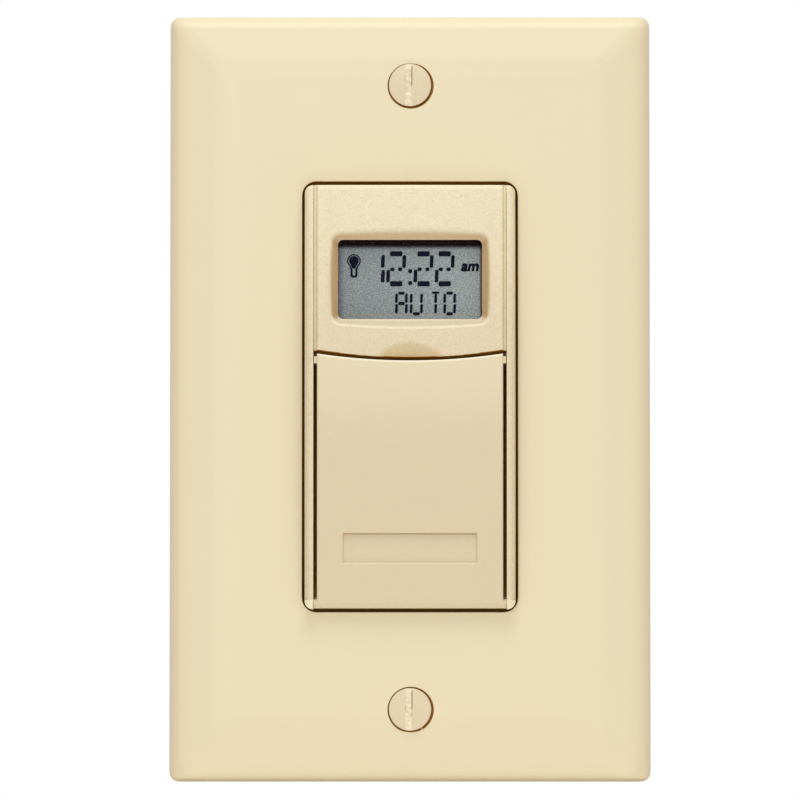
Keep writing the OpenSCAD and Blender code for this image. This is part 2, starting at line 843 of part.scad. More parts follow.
module microcontroller()
    color(black) at(0, chip_z) union() {
        slab(chip_w, chip_w, board_back + slip, board_back + slip + chip_t);
        for (turn = [0:90:270], i = [0:chip_legs - 1]) rotate([0, turn, 0])
            at((i - (chip_legs - 1) / 2) * chip_leg_step, chip_w / 2 + chip_leg_l / 2 - seat)
                slab(chip_leg_w, chip_leg_l + 2 * seat, board_back, board_back + 4 * slip);
    }

module crystal()
    color(steel) at(crystal_x, crystal_z) union() {
        translate([0, board_back + crystal_r + slip, 0]) bar_z(crystal_r, -crystal_l / 2, crystal_l / 2);
        slab(crystal_pad_w, crystal_pad_l, board_back, board_back + crystal_r);
    }

module backup_cell() color(steel) at(0, cell_z) rod(cell_r, board_back, board_back + cell_t);

module cell_clip()
    color(brass) at(0, cell_z) difference() {
        slab(2 * cell_r + 4 * slip + 2 * clip_t, clip_w, board_back, clip_back);
        slab(2 * cell_r + 4 * slip, clip_w + over, board_back - over, clip_back - clip_t);
    }

module board_header()
    color(brass) at(0, header_z) union() {
        slab(header_l, header_block_w, board_back, board_back + header_block_w);
        slab(header_l, header_block_w, power_front - header_block_w, power_front);
        for (i = [0:header_pins - 1])
            at((i - (header_pins - 1) / 2) * header_pitch, 0)
                slab(header_pin_w, header_pin_w, board_back + over, power_front - over);
    }

// Power board

module power_board()
    color(board_green) difference() {
        slab(power_w, power_h, power_front, power_back);
        corners(power_post_x, power_post_z)
            rod(board_screw_r + slip, power_front - over, power_back + over);
    }

module relay_base()
    color(black) at(relay_x, relay_z) slab(relay_w, relay_l, relay_floor, power_front);

module relay_cover()
    color([0.25, 0.3, 0.38]) at(relay_x, relay_z) difference() {
        slab(relay_w, relay_l, relay_top, relay_floor);
        slab(relay_w - 2 * relay_wall, relay_l - 2 * relay_wall, relay_top + relay_wall,
            relay_floor + over);
    }

module on_coil() translate([relay_x, coil_y, 0]) children();

module relay_bobbin()
    color(white) on_coil() difference() {
        union() {
            bar_z(core_r + coil_tube, coil_foot_z, bobbin_top_z);
            bar_z(coil_flange_r, coil_foot_z, coil_foot_z + coil_flange_t);
            bar_z(coil_flange_r, bobbin_top_z - coil_flange_t, bobbin_top_z);
        }
        bar_z(core_r + seat, coil_foot_z - over, coil_top_z + over);
    }

module relay_winding()
    color(copper) on_coil() difference() {
        bar_z(coil_r, coil_foot_z + coil_flange_t, bobbin_top_z - coil_flange_t);
        bar_z(core_r + coil_tube, coil_foot_z - over, coil_top_z + over);
    }

module relay_core() color(steel) on_coil() bar_z(core_r, coil_foot_z, coil_top_z);

// An angle of steel: the foot holds the core, the long leg carries the armature's pivot
module relay_yoke() {
    leg_foot_z = coil_foot_z - yoke_t;
    leg_top_z = pivot_z - pivot_r - slip;
    color(steel) at(relay_x, 0) union() {
        at(0, leg_foot_z + yoke_t / 2) slab(yoke_w, yoke_t, yoke_front, relay_floor);
        at(0, (leg_foot_z + leg_top_z) / 2)
            slab(yoke_w, leg_top_z - leg_foot_z, yoke_front, yoke_front + yoke_t);
        for (s = [-1, 1]) at(s * (yoke_w + cheek_w - 2 * slip) / 2, leg_top_z - cheek_h / 10)
            slab(cheek_w, cheek_h, yoke_front, yoke_front + yoke_t);
    }
}

module relay_armature()
    color(steel) at(relay_x, 0) union() {
        at(0, pivot_z) slab(armature_w, armature_t, pivot_y, armature_back);
        translate([0, pivot_y, pivot_z]) bar_x(pivot_r, armature_w);
    }

module moving_contact() {
    blade_z = pivot_z + armature_t / 2;
    color(copper) at(relay_x, 0) union() {
        at(0, blade_z + contact_t / 2) slab(blade_w, contact_t, coil_y - core_r, contact_y + contact_r);
        translate([0, contact_y, 0]) bar_z(contact_r, pivot_z, blade_z + seat);
    }
}

module fixed_contact() {
    contact_top_z = pivot_z - contact_gap;
    blade_z = contact_top_z - contact_t;
    color(copper) at(relay_x, 0) union() {
        at(0, blade_z - contact_t / 2) slab(blade_w, contact_t, contact_y - contact_r, relay_floor);
        translate([0, contact_y, 0]) bar_z(contact_r, blade_z - seat, contact_top_z);
    }
}

// Parts with a lead at each end, lying along X on the front of the power board
module axial(r, l) {
    middle_y = power_front - r - lead_wire_lift;
    union() {
        translate([0, middle_y, 0]) bar_x(r, l);
        translate([0, middle_y, 0])
            cube([l + 2 * lead_wire_out + lead_wire_w, lead_wire_w, lead_wire_w], center = true);
        for (s = [-1, 1]) at(s * (l / 2 + lead_wire_out), 0)
            slab(lead_wire_w, lead_wire_w, middle_y, power_front);
    }
}

module varistor() {
    middle_y = power_front - part_h + varistor_r;
    color([0.2, 0.35, 0.6]) at(right_x, varistor_z) union() {
        translate([0, middle_y, 0]) bar_z(varistor_r, -varistor_t / 2, varistor_t / 2);
        for (s = [-1, 1]) at(s * varistor_leg_x, 0) slab(lead_wire_w, lead_wire_w, middle_y, power_front);
    }
}

module film_capacitor()
    color([0.75, 0.6, 0.15]) at(right_x, film_z)
        layer(power_front - part_h, power_front) rounded(film_w, film_h, film_r);

module electrolytic_capacitors()
    color([0.15, 0.18, 0.3]) for (s = [-1, 1]) at(right_x + s * can_x, can_z) union() {
        rod(can_r, power_front - part_h, power_front);
        rod(can_top_r, power_front - part_h - 4 * slip, power_front - part_h + slip);
    }

module diodes()
    color(black) for (s = [-1, 1], share = diode_drop_shares)
        at(right_x + s * diode_x, -share * power_h) axial(diode_r, diode_l);

module resistors()
    color([0.55, 0.42, 0.3]) for (share = resistor_drop_shares)
        at(resistor_x, -share * power_h) axial(resistor_r, resistor_l);

// Rear case

module rear_case()
    color(black) difference() {
        union() {
            difference() {
                layer(0, case_d) rounded(case_w, case_h, case_r);
                layer(-over, case_back_in) rounded(case_in_w, case_in_h, case_r - case_wall / 2);
            }
            corners(case_screw_x, case_screw_z) rod(column_r, 0, case_back_in + case_wall / 2);
            corners(power_post_x, power_post_z) rod(post_r, power_back, case_back_in + case_wall / 2);
        }
        corners(case_screw_x, case_screw_z) {
            rod(case_screw_r + slip, -over, case_d + over);
            rod(case_head_r + 2 * slip, counterbore_y, case_d + over);
        }
        corners(power_post_x, power_post_z)
            rod(board_screw_r + seat, power_back - over, power_back + bite + bite_clear);
        for (i = [-1:1]) at(i * lead_pitch, lead_z) rod(bush_r + seat, case_back_in - over, case_d + over);
    }

module case_screws()
    color(steel) corners(case_screw_x, case_screw_z) difference() {
        union() {
            rod(case_screw_r, boss_front + boss_skin + 2 * slip, counterbore_y + seat);
            rod(case_head_r, counterbore_y, counterbore_y + case_head_h);
        }
        slab(case_slot_w, 3 * case_head_r, counterbore_y + case_head_h / 2, case_d + over);
    }

module lead_bushes()
    color([0.3, 0.3, 0.32]) for (i = [-1:1]) at(i * lead_pitch, lead_z) difference() {
        union() {
            rod(bush_r, case_back_in - bush_in, case_d + seat);
            rod(bush_r + bush_lip_w, case_d, case_d + bush_lip_t);
        }
        rod(lead_d / 2, case_back_in - bush_in - over, case_d + bush_lip_t + over);
    }

wall_plate();
plate_screws();
mounting_strap();
box_screws();
ground_rivet();
insulating_sheet();
face_frame();
display_bezel();
display_window();
lcd_panel();
lcd_reflector();
lcd_holder();
connector_strips();
hinge_pin();
door();
override_plunger();
override_stem();
mode_key();
mode_stem();
minus_key();
minus_stem();
plus_key();
plus_stem();
reset_button();
reset_stem();
switch_bodies();
logic_board();
board_screws();
microcontroller();
crystal();
backup_cell();
cell_clip();
board_header();
power_board();
relay_base();
relay_cover();
relay_bobbin();
relay_winding();
relay_core();
relay_yoke();
relay_armature();
moving_contact();
fixed_contact();
varistor();
film_capacitor();
electrolytic_capacitors();
diodes();
resistors();
rear_case();
case_screws();
lead_bushes();
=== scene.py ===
# %% [markdown]
# # A timer light switch, piece by piece
#
# The object is an in-wall timer: an ivory wall plate, a timer face with a small display, and a door
# that flips down over its keys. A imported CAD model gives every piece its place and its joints. This
# lesson builds a fine version of each piece that can be seen, and dresses it with node materials.

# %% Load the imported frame
import json
import math

import bmesh
import bpy
from mathutils import Matrix, Vector, noise


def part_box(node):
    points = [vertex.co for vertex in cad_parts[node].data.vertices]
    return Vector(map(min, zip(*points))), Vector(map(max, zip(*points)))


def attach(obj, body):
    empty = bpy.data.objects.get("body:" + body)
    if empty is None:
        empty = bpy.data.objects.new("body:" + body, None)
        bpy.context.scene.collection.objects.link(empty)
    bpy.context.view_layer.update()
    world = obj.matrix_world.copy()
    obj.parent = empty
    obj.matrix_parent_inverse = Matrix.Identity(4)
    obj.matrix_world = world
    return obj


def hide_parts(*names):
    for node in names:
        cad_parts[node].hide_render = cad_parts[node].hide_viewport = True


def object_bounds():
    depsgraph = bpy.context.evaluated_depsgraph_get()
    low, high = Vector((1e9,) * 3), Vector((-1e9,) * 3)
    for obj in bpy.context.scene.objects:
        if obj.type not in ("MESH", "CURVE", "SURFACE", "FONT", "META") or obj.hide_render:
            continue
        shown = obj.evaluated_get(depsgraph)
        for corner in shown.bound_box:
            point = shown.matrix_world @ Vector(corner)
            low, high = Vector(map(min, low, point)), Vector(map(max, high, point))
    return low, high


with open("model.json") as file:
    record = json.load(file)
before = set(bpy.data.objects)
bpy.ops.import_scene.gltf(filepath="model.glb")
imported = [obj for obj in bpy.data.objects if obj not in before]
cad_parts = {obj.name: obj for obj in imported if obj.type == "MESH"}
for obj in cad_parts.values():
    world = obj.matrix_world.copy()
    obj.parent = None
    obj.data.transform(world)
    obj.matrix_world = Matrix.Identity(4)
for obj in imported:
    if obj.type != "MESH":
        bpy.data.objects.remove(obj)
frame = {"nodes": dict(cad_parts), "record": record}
cad_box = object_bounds()
MM = 0.001

# %% [markdown]
# ## The camera
#
# The picture is a catalogue shot: a long lens, straight on, from slightly below the middle of the
# plate. A short lens close by would show too much of the plate's edges, so the camera stands more
# than a metre away, and its angle is worked out from how many millimetres the frame has to hold.

# %% Camera
VIEW_MM = 123.9
AIM_MM = (-1.55, -6.0, -0.56)
CAMERA_DISTANCE = 1.15
CAMERA_TILT = math.radians(-3.2)

aim = Vector(AIM_MM) * MM
eye = aim + CAMERA_DISTANCE * Vector((0, -math.cos(CAMERA_TILT), math.sin(CAMERA_TILT)))
camera_data = bpy.data.cameras.new("catalogue_camera")
camera_data.angle = 2 * math.atan(VIEW_MM * MM / 2 / CAMERA_DISTANCE)
camera = bpy.data.objects.new("catalogue_camera", camera_data)
camera.location = eye
camera.rotation_euler = (aim - eye).to_track_quat("-Z", "Y").to_euler()
scene = bpy.context.scene
scene.collection.objects.link(camera)
scene.camera = camera
print("camera: lens", round(camera_data.lens, 1), "mm at", [round(v, 3) for v in eye])

# %% [markdown]
# ## The studio
#
# The switch stands on a pale floor in even light. A white world could light everything alone, but
# then all slopes look alike. So the world gives half of the light, and soft boxes give the rest: a
# big one overhead, a small one in front, and one under the floor, as on a product table whose top
# lets light through. Rays from the camera, and rays that metal or glass mirror, see plain white
# instead of the dimmer world. Three small helpers do the wiring here and in the materials.

# %% World
AMBIENT = 0.50


def feed(socket, value):
    """Set an input to a number, or link it to an output."""
    if isinstance(value, (int, float)):
        socket.default_value = value
    else:
        socket.id_data.links.new(value, socket)


def math_node(operation, first, second=0.0):
    """A Math node on an output, and on a second output or a number."""
    node = first.id_data.nodes.new("ShaderNodeMath")
    node.operation = operation
    feed(node.inputs[0], first)
    feed(node.inputs[1], second)
    return node.outputs[0]


def mix_shaders(share, first, second):
    """Two shaders mixed, by the share of the second."""
    node = share.id_data.nodes.new("ShaderNodeMixShader")
    for socket, value in zip(node.inputs, (share, first, second)):
        feed(socket, value)
    return node.outputs[0]


def white_light(tree, strength):
    """A white background of this strength."""
    node = tree.nodes.new("ShaderNodeBackground")
    node.inputs["Color"].default_value = (1, 1, 1, 1)
    node.inputs["Strength"].default_value = strength
    return node.outputs[0]


scene.view_settings.view_transform = "Standard"
world = bpy.data.worlds.new("studio")
scene.world = world
world.use_nodes = True
tree = world.node_tree
tree.nodes.clear()
rays = tree.nodes.new("ShaderNodeLightPath").outputs
shown = math_node("MAXIMUM", rays["Is Camera Ray"], rays["Is Glossy Ray"])
shown = math_node("MAXIMUM", shown, rays["Is Transmission Ray"])
sky = mix_shaders(shown, white_light(tree, AMBIENT), white_light(tree, 1.0))
feed(tree.nodes.new("ShaderNodeOutputWorld").inputs["Surface"], sky)
print("world: ambient", AMBIENT)

# %% [markdown]
# ## Soft boxes and floor
#
# An area lamp's power spreads over distance squared, so each lamp is set by the share of light it
# should give at the plate. The floor lies just under the plate's foot. The camera is a little lower
# than the floor, so the floor's shader turns clear when it is seen from underneath, and also for
# shadow rays, which lets the lower box through. The switch still throws its shadow on the floor.

# %% Soft boxes
def soft_box(name, place, size, share):
    """An area lamp aimed at the plate, giving it this share of full light."""
    lamp = bpy.data.lights.new(name, "AREA")
    lamp.shape = "RECTANGLE"
    lamp.size, lamp.size_y = size
    place = Vector(place)
    lamp.energy = share * (math.pi * place.length) ** 2
    box = bpy.data.objects.new(name, lamp)
    box.location = place
    box.rotation_euler = (-place).to_track_quat("-Z", "Y").to_euler()
    scene.collection.objects.link(box)
    print(name, round(lamp.energy, 2), "W")


soft_box("high_box", (0.05, -0.5, 1.15), (0.9, 0.7), 0.53)
soft_box("front_box", (-0.4, -1.25, 0.3), (0.5, 0.4), 0.12)
soft_box("table_box", (0.1, -0.55, -0.75), (0.7, 0.5), 0.17)

# %% Floor
FLOOR_GAP, FLOOR_HALF = 0.05, 2.0
FLOOR_COLOUR, FLOOR_ROUGHNESS = (0.88, 0.88, 0.87, 1), 0.9

floor_bm = bmesh.new()
bmesh.ops.create_grid(floor_bm, x_segments=2, y_segments=2, size=FLOOR_HALF)
foot_z = cad_box[0].z - FLOOR_GAP * MM
bmesh.ops.translate(floor_bm, vec=(0, 0, foot_z), verts=floor_bm.verts)
floor_mesh = bpy.data.meshes.new("floor")
floor_bm.to_mesh(floor_mesh)
floor_bm.free()
floor = bpy.data.objects.new("floor", floor_mesh)
scene.collection.objects.link(floor)

paper = bpy.data.materials.new("pale_floor")
paper.use_nodes = True
tree = paper.node_tree
shader = tree.nodes["Principled BSDF"]
shader.inputs["Base Color"].default_value = FLOOR_COLOUR
shader.inputs["Roughness"].default_value = FLOOR_ROUGHNESS
from_below = tree.nodes.new("ShaderNodeNewGeometry").outputs["Backfacing"]
for_shadow = tree.nodes.new("ShaderNodeLightPath").outputs["Is Shadow Ray"]
clear = tree.nodes.new("ShaderNodeBsdfTransparent").outputs[0]
see_through = math_node("MAXIMUM", from_below, for_shadow)
surface = mix_shaders(see_through, shader.outputs[0], clear)
feed(tree.nodes["Material Output"].inputs["Surface"], surface)
floor_mesh.materials.append(paper)
print("floor at", round(foot_z / MM, 2), "mm")

# %% [markdown]
# ## Shared surface effects
#
# Moulded plastic, paint, rubber and board resin all carry a fine grain, and their colour drifts a
# little from place to place. Metal carries drawn lines. Each effect could be wired into every
# material again, but a node group is built once and placed wherever it is needed, with its own
# values. The groups put out only heights, tones and colours, and the shader stays in the material.

# %% Node group tools
FLOAT, COLOUR = "NodeSocketFloat", "NodeSocketColor"


def new_group(name, inputs, outputs):
    """An empty shader node group with its sockets, and its input and output nodes."""
    group = bpy.data.node_groups.new(name, "ShaderNodeTree")
    for label, kind, value in inputs:
        socket = group.interface.new_socket(name=label, in_out="INPUT", socket_type=kind)
        socket.default_value = value
    for label, kind in outputs:
        group.interface.new_socket(name=label, in_out="OUTPUT", socket_type=kind)
    put_in, put_out = group.nodes.new("NodeGroupInput"), group.nodes.new("NodeGroupOutput")
    print("group:", name)
    return group, put_in.outputs, put_out.inputs


def object_coords(tree):
    """The Object coordinates in a node tree."""
    return tree.nodes.new("ShaderNodeTexCoord").outputs["Object"]


def noise_node(coords, scale, detail):
    """A noise texture on coordinates."""
    node = coords.id_data.nodes.new("ShaderNodeTexNoise")
    node.inputs["Detail"].default_value = detail
    feed(node.inputs["Vector"], coords)
    feed(node.inputs["Scale"], scale)
    return node.outputs[0]


def swing(value, amount):
    """How far a noise is from its middle, times an amount."""
    return math_node("MULTIPLY", math_node("SUBTRACT", value, 0.5), amount)


print("node tools: groups and noise")

# %% Node groups
COARSE_SHARE = 0.31
PIT_START, PIT_DEPTH = 0.56, 6.0
LINE_STRETCH = (1.0, 1.0, 0.04)

grain, given, result = new_group(
    "moulded_grain",
    [("Scale", FLOAT, 4000.0), ("Pits", FLOAT, 0.3)],
    [("Height", FLOAT), ("Tone", FLOAT)],
)
coords = object_coords(grain)
fine = noise_node(coords, given["Scale"], 2.0)
coarse = noise_node(coords, math_node("MULTIPLY", given["Scale"], COARSE_SHARE), 1.0)
pit = math_node("MAXIMUM", math_node("SUBTRACT", coarse, PIT_START), 0.0)
pit = math_node("MULTIPLY", pit, given["Pits"])
feed(result["Height"], math_node("SUBTRACT", fine, math_node("MULTIPLY", pit, PIT_DEPTH)))
feed(result["Tone"], math_node("SUBTRACT", fine, pit))

drift, given, result = new_group(
    "tone_drift",
    [("Colour", COLOUR, (0.5, 0.5, 0.5, 1)), ("Scale", FLOAT, 60.0), ("Spread", FLOAT, 0.03),
     ("Grain", FLOAT, 0.5), ("Speckle", FLOAT, 0.0)],
    [("Colour", COLOUR)],
)
cloud = noise_node(object_coords(drift), given["Scale"], 3.0)
dots = swing(given["Grain"], given["Speckle"])
change = math_node("MULTIPLY", math_node("ADD", swing(cloud, given["Spread"]), dots), 2.0)
shade = drift.nodes.new("ShaderNodeHueSaturation")
feed(shade.inputs["Value"], math_node("ADD", change, 1.0))
feed(shade.inputs["Color"], given["Colour"])
feed(result["Colour"], shade.outputs["Color"])

lines, given, result = new_group(
    "drawn_lines", [("Scale", FLOAT, 900.0)], [("Height", FLOAT), ("Tone", FLOAT)]
)
stretch = lines.nodes.new("ShaderNodeMapping")
stretch.inputs["Scale"].default_value = LINE_STRETCH
feed(stretch.inputs["Vector"], object_coords(lines))
streak = noise_node(stretch.outputs["Vector"], given["Scale"], 3.0)
feed(result["Height"], streak)
feed(result["Tone"], streak)

# %% [markdown]
# ## The finishes
#
# Every finish on the switch is the same recipe: a colour that drifts, a roughness that follows the
# grain, and a bump from the same grain. One function wires it, and a table gives each finish its
# own values. The bezel is spark eroded, so its grain is coarser and pitted. The plate is satin, the
# door is smoother and slightly duller, and the hidden parts behind the strap get quiet finishes.

# %% Finish recipe
POLISH_SWING = 0.06

finishes = {}


def place_group(tree, group, values):
    """A shared effect in a material, with its own values."""
    node = tree.nodes.new("ShaderNodeGroup")
    node.node_tree = group
    for label, value in values.items():
        if label in node.inputs:
            node.inputs[label].default_value = value
    return node


def dress(
    slot, colour, roughness, spread, grain_scale, depth_um,
    pits=0.0, speckle=0.0, specular=0.5, metal=0.0, surface=grain,
):
    """A material: drifting colour, and roughness and bump that follow one grain."""
    material = bpy.data.materials.new(slot)
    material.use_nodes = True
    tree = material.node_tree
    shader = tree.nodes["Principled BSDF"]
    shader.inputs["Metallic"].default_value = metal
    shader.inputs["Specular IOR Level"].default_value = specular

    skin = place_group(tree, surface, {"Scale": grain_scale, "Pits": pits}).outputs
    tone = place_group(tree, drift, {"Colour": (*colour, 1), "Spread": spread, "Speckle": speckle})
    feed(tone.inputs["Grain"], skin["Tone"])
    feed(shader.inputs["Base Color"], tone.outputs["Colour"])

    polish = tree.nodes.new("ShaderNodeMapRange")
    polish.inputs["To Min"].default_value = roughness - POLISH_SWING
    polish.inputs["To Max"].default_value = roughness + POLISH_SWING
    feed(polish.inputs["Value"], skin["Tone"])
    feed(shader.inputs["Roughness"], polish.outputs["Result"])

    bump = tree.nodes.new("ShaderNodeBump")
    bump.inputs["Strength"].default_value = 1.0
    bump.inputs["Distance"].default_value = depth_um * MM * MM
    feed(bump.inputs["Height"], skin["Height"])
    feed(shader.inputs["Normal"], bump.outputs["Normal"])
    finishes[slot] = material
    return shader


SATIN = 0.3

dress("plate_ivory", (0.80, 0.69, 0.475), 0.42, 0.012, 2600, 3, speckle=0.008, specular=SATIN)
dress("face_ivory", (0.825, 0.715, 0.497), 0.50, 0.012, 3300, 60, 0.6, speckle=0.14, specular=SATIN)
dress("door_ivory", (0.76, 0.645, 0.445), 0.52, 0.012, 3600, 14, 0.3, speckle=0.03, specular=SATIN)
dress("key_ivory", (0.70, 0.58, 0.40), 0.48, 0.02, 3600, 8, speckle=0.02)
dress("screw_paint", (0.74, 0.62, 0.42), 0.45, 0.03, 1500, 26, 0.5, speckle=0.04, specular=SATIN)
# painted shade: a dark brown finish for faces deep in gaps, standing in for the little light there
dress("gap_painted_shade", (0.45, 0.21, 0.035), 0.8, 0.05, 2600, 4, specular=0.0)
print("finishes:", list(finishes))

# %% [markdown]
# ## Shades of ivory
#
# The face isn't one even colour, because light and shade are painted into it. It is painted a little
# darker towards its foot, the thumb scoop gets a painted shade, the door's upper edge a painted
# highlight, and deep in the gaps, where light has bounced from ivory to ivory, a painted tan shade
# stands in for that light. Separate pieces in other colours would show seams, so masks on the
# Object coordinates blend each finish towards its other shades. A table names each shade: its share
# of red, green and blue, and the masks that say where it lies, in millimetres.

# %% Mask tools
def ramp(value, low, high, to_low=0.0, to_high=1.0):
    """A Map Range node between two values, eased at both ends."""
    node = value.id_data.nodes.new("ShaderNodeMapRange")
    node.interpolation_type = "SMOOTHSTEP"
    settings = {"From Min": low, "From Max": high, "To Min": to_low, "To Max": to_high}
    for label, number in settings.items():
        node.inputs[label].default_value = number
    feed(node.inputs["Value"], value)
    return node.outputs["Result"]


def split_xyz(vector):
    """The X, Y and Z of a vector."""
    node = vector.id_data.nodes.new("ShaderNodeSeparateXYZ")
    feed(node.inputs[0], vector)
    return node.outputs


def object_mm(slot):
    """The X, Y and Z of the Object coordinates in a finish, in millimetres."""
    tree = finishes[slot].node_tree
    in_mm = tree.nodes.new("ShaderNodeVectorMath")
    in_mm.operation = "SCALE"
    in_mm.inputs["Scale"].default_value = 1 / MM
    feed(in_mm.inputs[0], object_coords(tree))
    return split_xyz(in_mm.outputs["Vector"])


def normal_z(slot):
    """How far the surface of a finish looks up, from -1 to 1."""
    coords = finishes[slot].node_tree.nodes.new("ShaderNodeTexCoord")
    return split_xyz(coords.outputs["Normal"])["Z"]


def away(value, middle=0.0):
    """How far a value is from a middle, on either side."""
    return math_node("ABSOLUTE", math_node("SUBTRACT", value, middle))


def squared(value, half):
    """The square of a value that is counted in halves of a width."""
    return math_node("POWER", math_node("MULTIPLY", value, 1 / half), 2.0)


def sag(value, radius):
    """How far a shallow arc has fallen away at a distance from its middle."""
    return math_node("MULTIPLY", math_node("POWER", value, 2.0), 1 / (2 * radius))


def all_of(*masks):
    """Several masks multiplied."""
    whole = masks[0]
    for mask in masks[1:]:
        whole = math_node("MULTIPLY", whole, mask)
    return whole


def paint(shades):
    """Multiply a finish's base colour by each shade where all of its masks are high."""
    for share, *masks in shades.values():
        mask = all_of(*masks)
        tree = mask.id_data
        base = tree.nodes["Principled BSDF"].inputs["Base Color"]
        node = tree.nodes.new("ShaderNodeMix")
        node.data_type = "RGBA"
        node.blend_type = "MULTIPLY"
        feed(node.inputs["Factor"], mask)
        feed(node.inputs[6], base.links[0].from_socket)
        node.inputs[7].default_value = (*share, 1)
        feed(base, node.outputs[2])
    print("shades:", ", ".join(shades))


print("mask tools: ramp, away, paint")

# %% Shades of the face
FACE_APEX, FACE_CURVE = -8.9875, 550.0
FACE_TOP_Z, FACE_LOW_Z = 33.0, 5.0
THUMB_Z, THUMB_HALF_W, THUMB_HALF_H = 5.2, 7.3, 4.25
LEDGE_SHADE_LINES = (14.45, 14.92)

x, y, z = object_mm("face_ivory")
looks_up = normal_z("face_ivory")
wide = away(x)
depth = math_node("SUBTRACT", math_node("SUBTRACT", y, FACE_APEX), sag(z, FACE_CURVE))
above_deck = ramp(y, -4.5, -4.75)
rise = squared(math_node("SUBTRACT", z, THUMB_Z), THUMB_HALF_H)
reach = math_node("ADD", squared(x, THUMB_HALF_W), rise)
in_scoop_shade = all_of(ramp(reach, 0.62, 0.38), ramp(y, -6.0, -7.0))
in_funnel = all_of(ramp(depth, 0.08, 0.9), ramp(wide, 13.4, 12.9), ramp(z, 8.5, 10.0), above_deck)
on_lip = all_of(ramp(looks_up, 0.05, 0.2), ramp(looks_up, 0.8, 0.55), ramp(depth, 0.8, 0.5))
shades = {
    # painted shade: the face darkens towards its foot
    "towards the foot": ((0.89, 0.865, 0.85), ramp(z, FACE_TOP_Z, FACE_LOW_Z)),
    # painted shade in the thumb scoop, which faces down away from the light
    "thumb scoop": ((0.91, 0.845, 0.74), in_scoop_shade),
    # painted shade, deeper low in the scoop
    "low in the scoop": ((0.96, 0.90, 0.80), in_scoop_shade, ramp(z, 7.4, 5.9)),
    # painted shade on the funnel's walls, less where they look up
    "funnel": (
        (0.72, 0.565, 0.41), in_funnel, ramp(looks_up, 0.8, 0.2), ramp(looks_up, -0.7, -0.1, 0.72, 1.0)
    ),
    # painted highlight on the sill below the window
    "sill": ((1.08, 1.12, 1.2), ramp(depth, 1.3, 1.6), ramp(looks_up, 0.3, 0.7)),
    # painted highlight on the lower lip of the funnel's mouth
    "lip": ((1.13, 1.15, 1.21), on_lip, ramp(z, 9.4, 9.9), ramp(z, 13.5, 12.5)),
    # painted shade in the groove beside the bezel
    "groove": ((0.70, 0.54, 0.38), ramp(depth, 0.8, 1.8), ramp(wide, 14.0, 14.4), above_deck),
    # painted highlight on the panel's top edge
    "top wall": ((1.06, 1.08, 1.12), ramp(z, 31.9, 32.1), ramp(wide, 14.3, 14.1)),
    # painted shade on the outer edges of the rails
    "outer edges": ((0.92, 0.88, 0.82), ramp(wide, 15.1, 16.2)),
    # painted highlight on the foot pads
    "foot pads": ((1.14, 1.18, 1.22), ramp(wide, 15.0, 15.05), ramp(z, -31.5, -31.65)),
}
# painted shade lines at the ledge's two small steps
for line_x in LEDGE_SHADE_LINES:
    on_shade_line = all_of(ramp(away(wide, line_x), 0.15, 0.07), ramp(depth, 0.8, 0.6), ramp(z, 5.0, 6.0))
    shades[f"line at {line_x} mm"] = ((0.88, 0.88, 0.82), on_shade_line)
paint(shades)

# %% Shades of door, plate and gaps
SPLIT_R = 95.0

x, y, z = object_mm("door_ivory")
over_bow = math_node("SUBTRACT", z, sag(x, SPLIT_R))
paint({
    # painted shade: the door darkens towards its foot
    "lower door": ((0.92, 0.90, 0.88), ramp(z, FACE_LOW_Z, -9.0)),
    # painted highlight along the door's upper edge
    "painted highlight on the upper edge": ((1.22, 1.29, 1.4), ramp(over_bow, 5.0, 5.25), ramp(y, -8.5, -8.8)),
})

x, _, z = object_mm("plate_ivory")
sloping = ramp(normal_z("plate_ivory"), 0.12, 0.3)
paint({
    # painted shade on the plate's sides
    "sides of the plate": ((0.95, 0.92, 0.885), ramp(away(x), 33.5, 36.8)),
    # painted shade on the upper slope
    "upper slope": ((0.955, 0.97, 0.965), sloping, ramp(z, 50.0, 51.0), ramp(z, 58.1, 57.3)),
    # painted highlight on the upper rim
    "upper rim": ((1.05, 1.09, 1.07), sloping, ramp(z, 57.3, 58.1)),
    # painted light on the plate's lower wall, which the floor shades
    "foot of the plate": ((1.25, 1.27, 1.30), ramp(z, -59.2, -59.5)),
})

x, _, z = object_mm("gap_painted_shade")
over_door = all_of(ramp(z, 4.6, 5.1), ramp(z, 9.0, 8.0), ramp(away(x), 14.8, 14.6))
# painted shade in the split above the door
paint({"split above the door": ((0.72, 0.65, 0.4), over_door)})

# %% [markdown]
# ## Finishes behind the plate
#
# Steel strap, brass rivet, black case, and the boards with their parts. Steel and brass take the
# drawn lines in place of the grain. None of it shows from the front, but the back of the switch is
# looked at as well, and a single flat colour always looks like a stand-in.

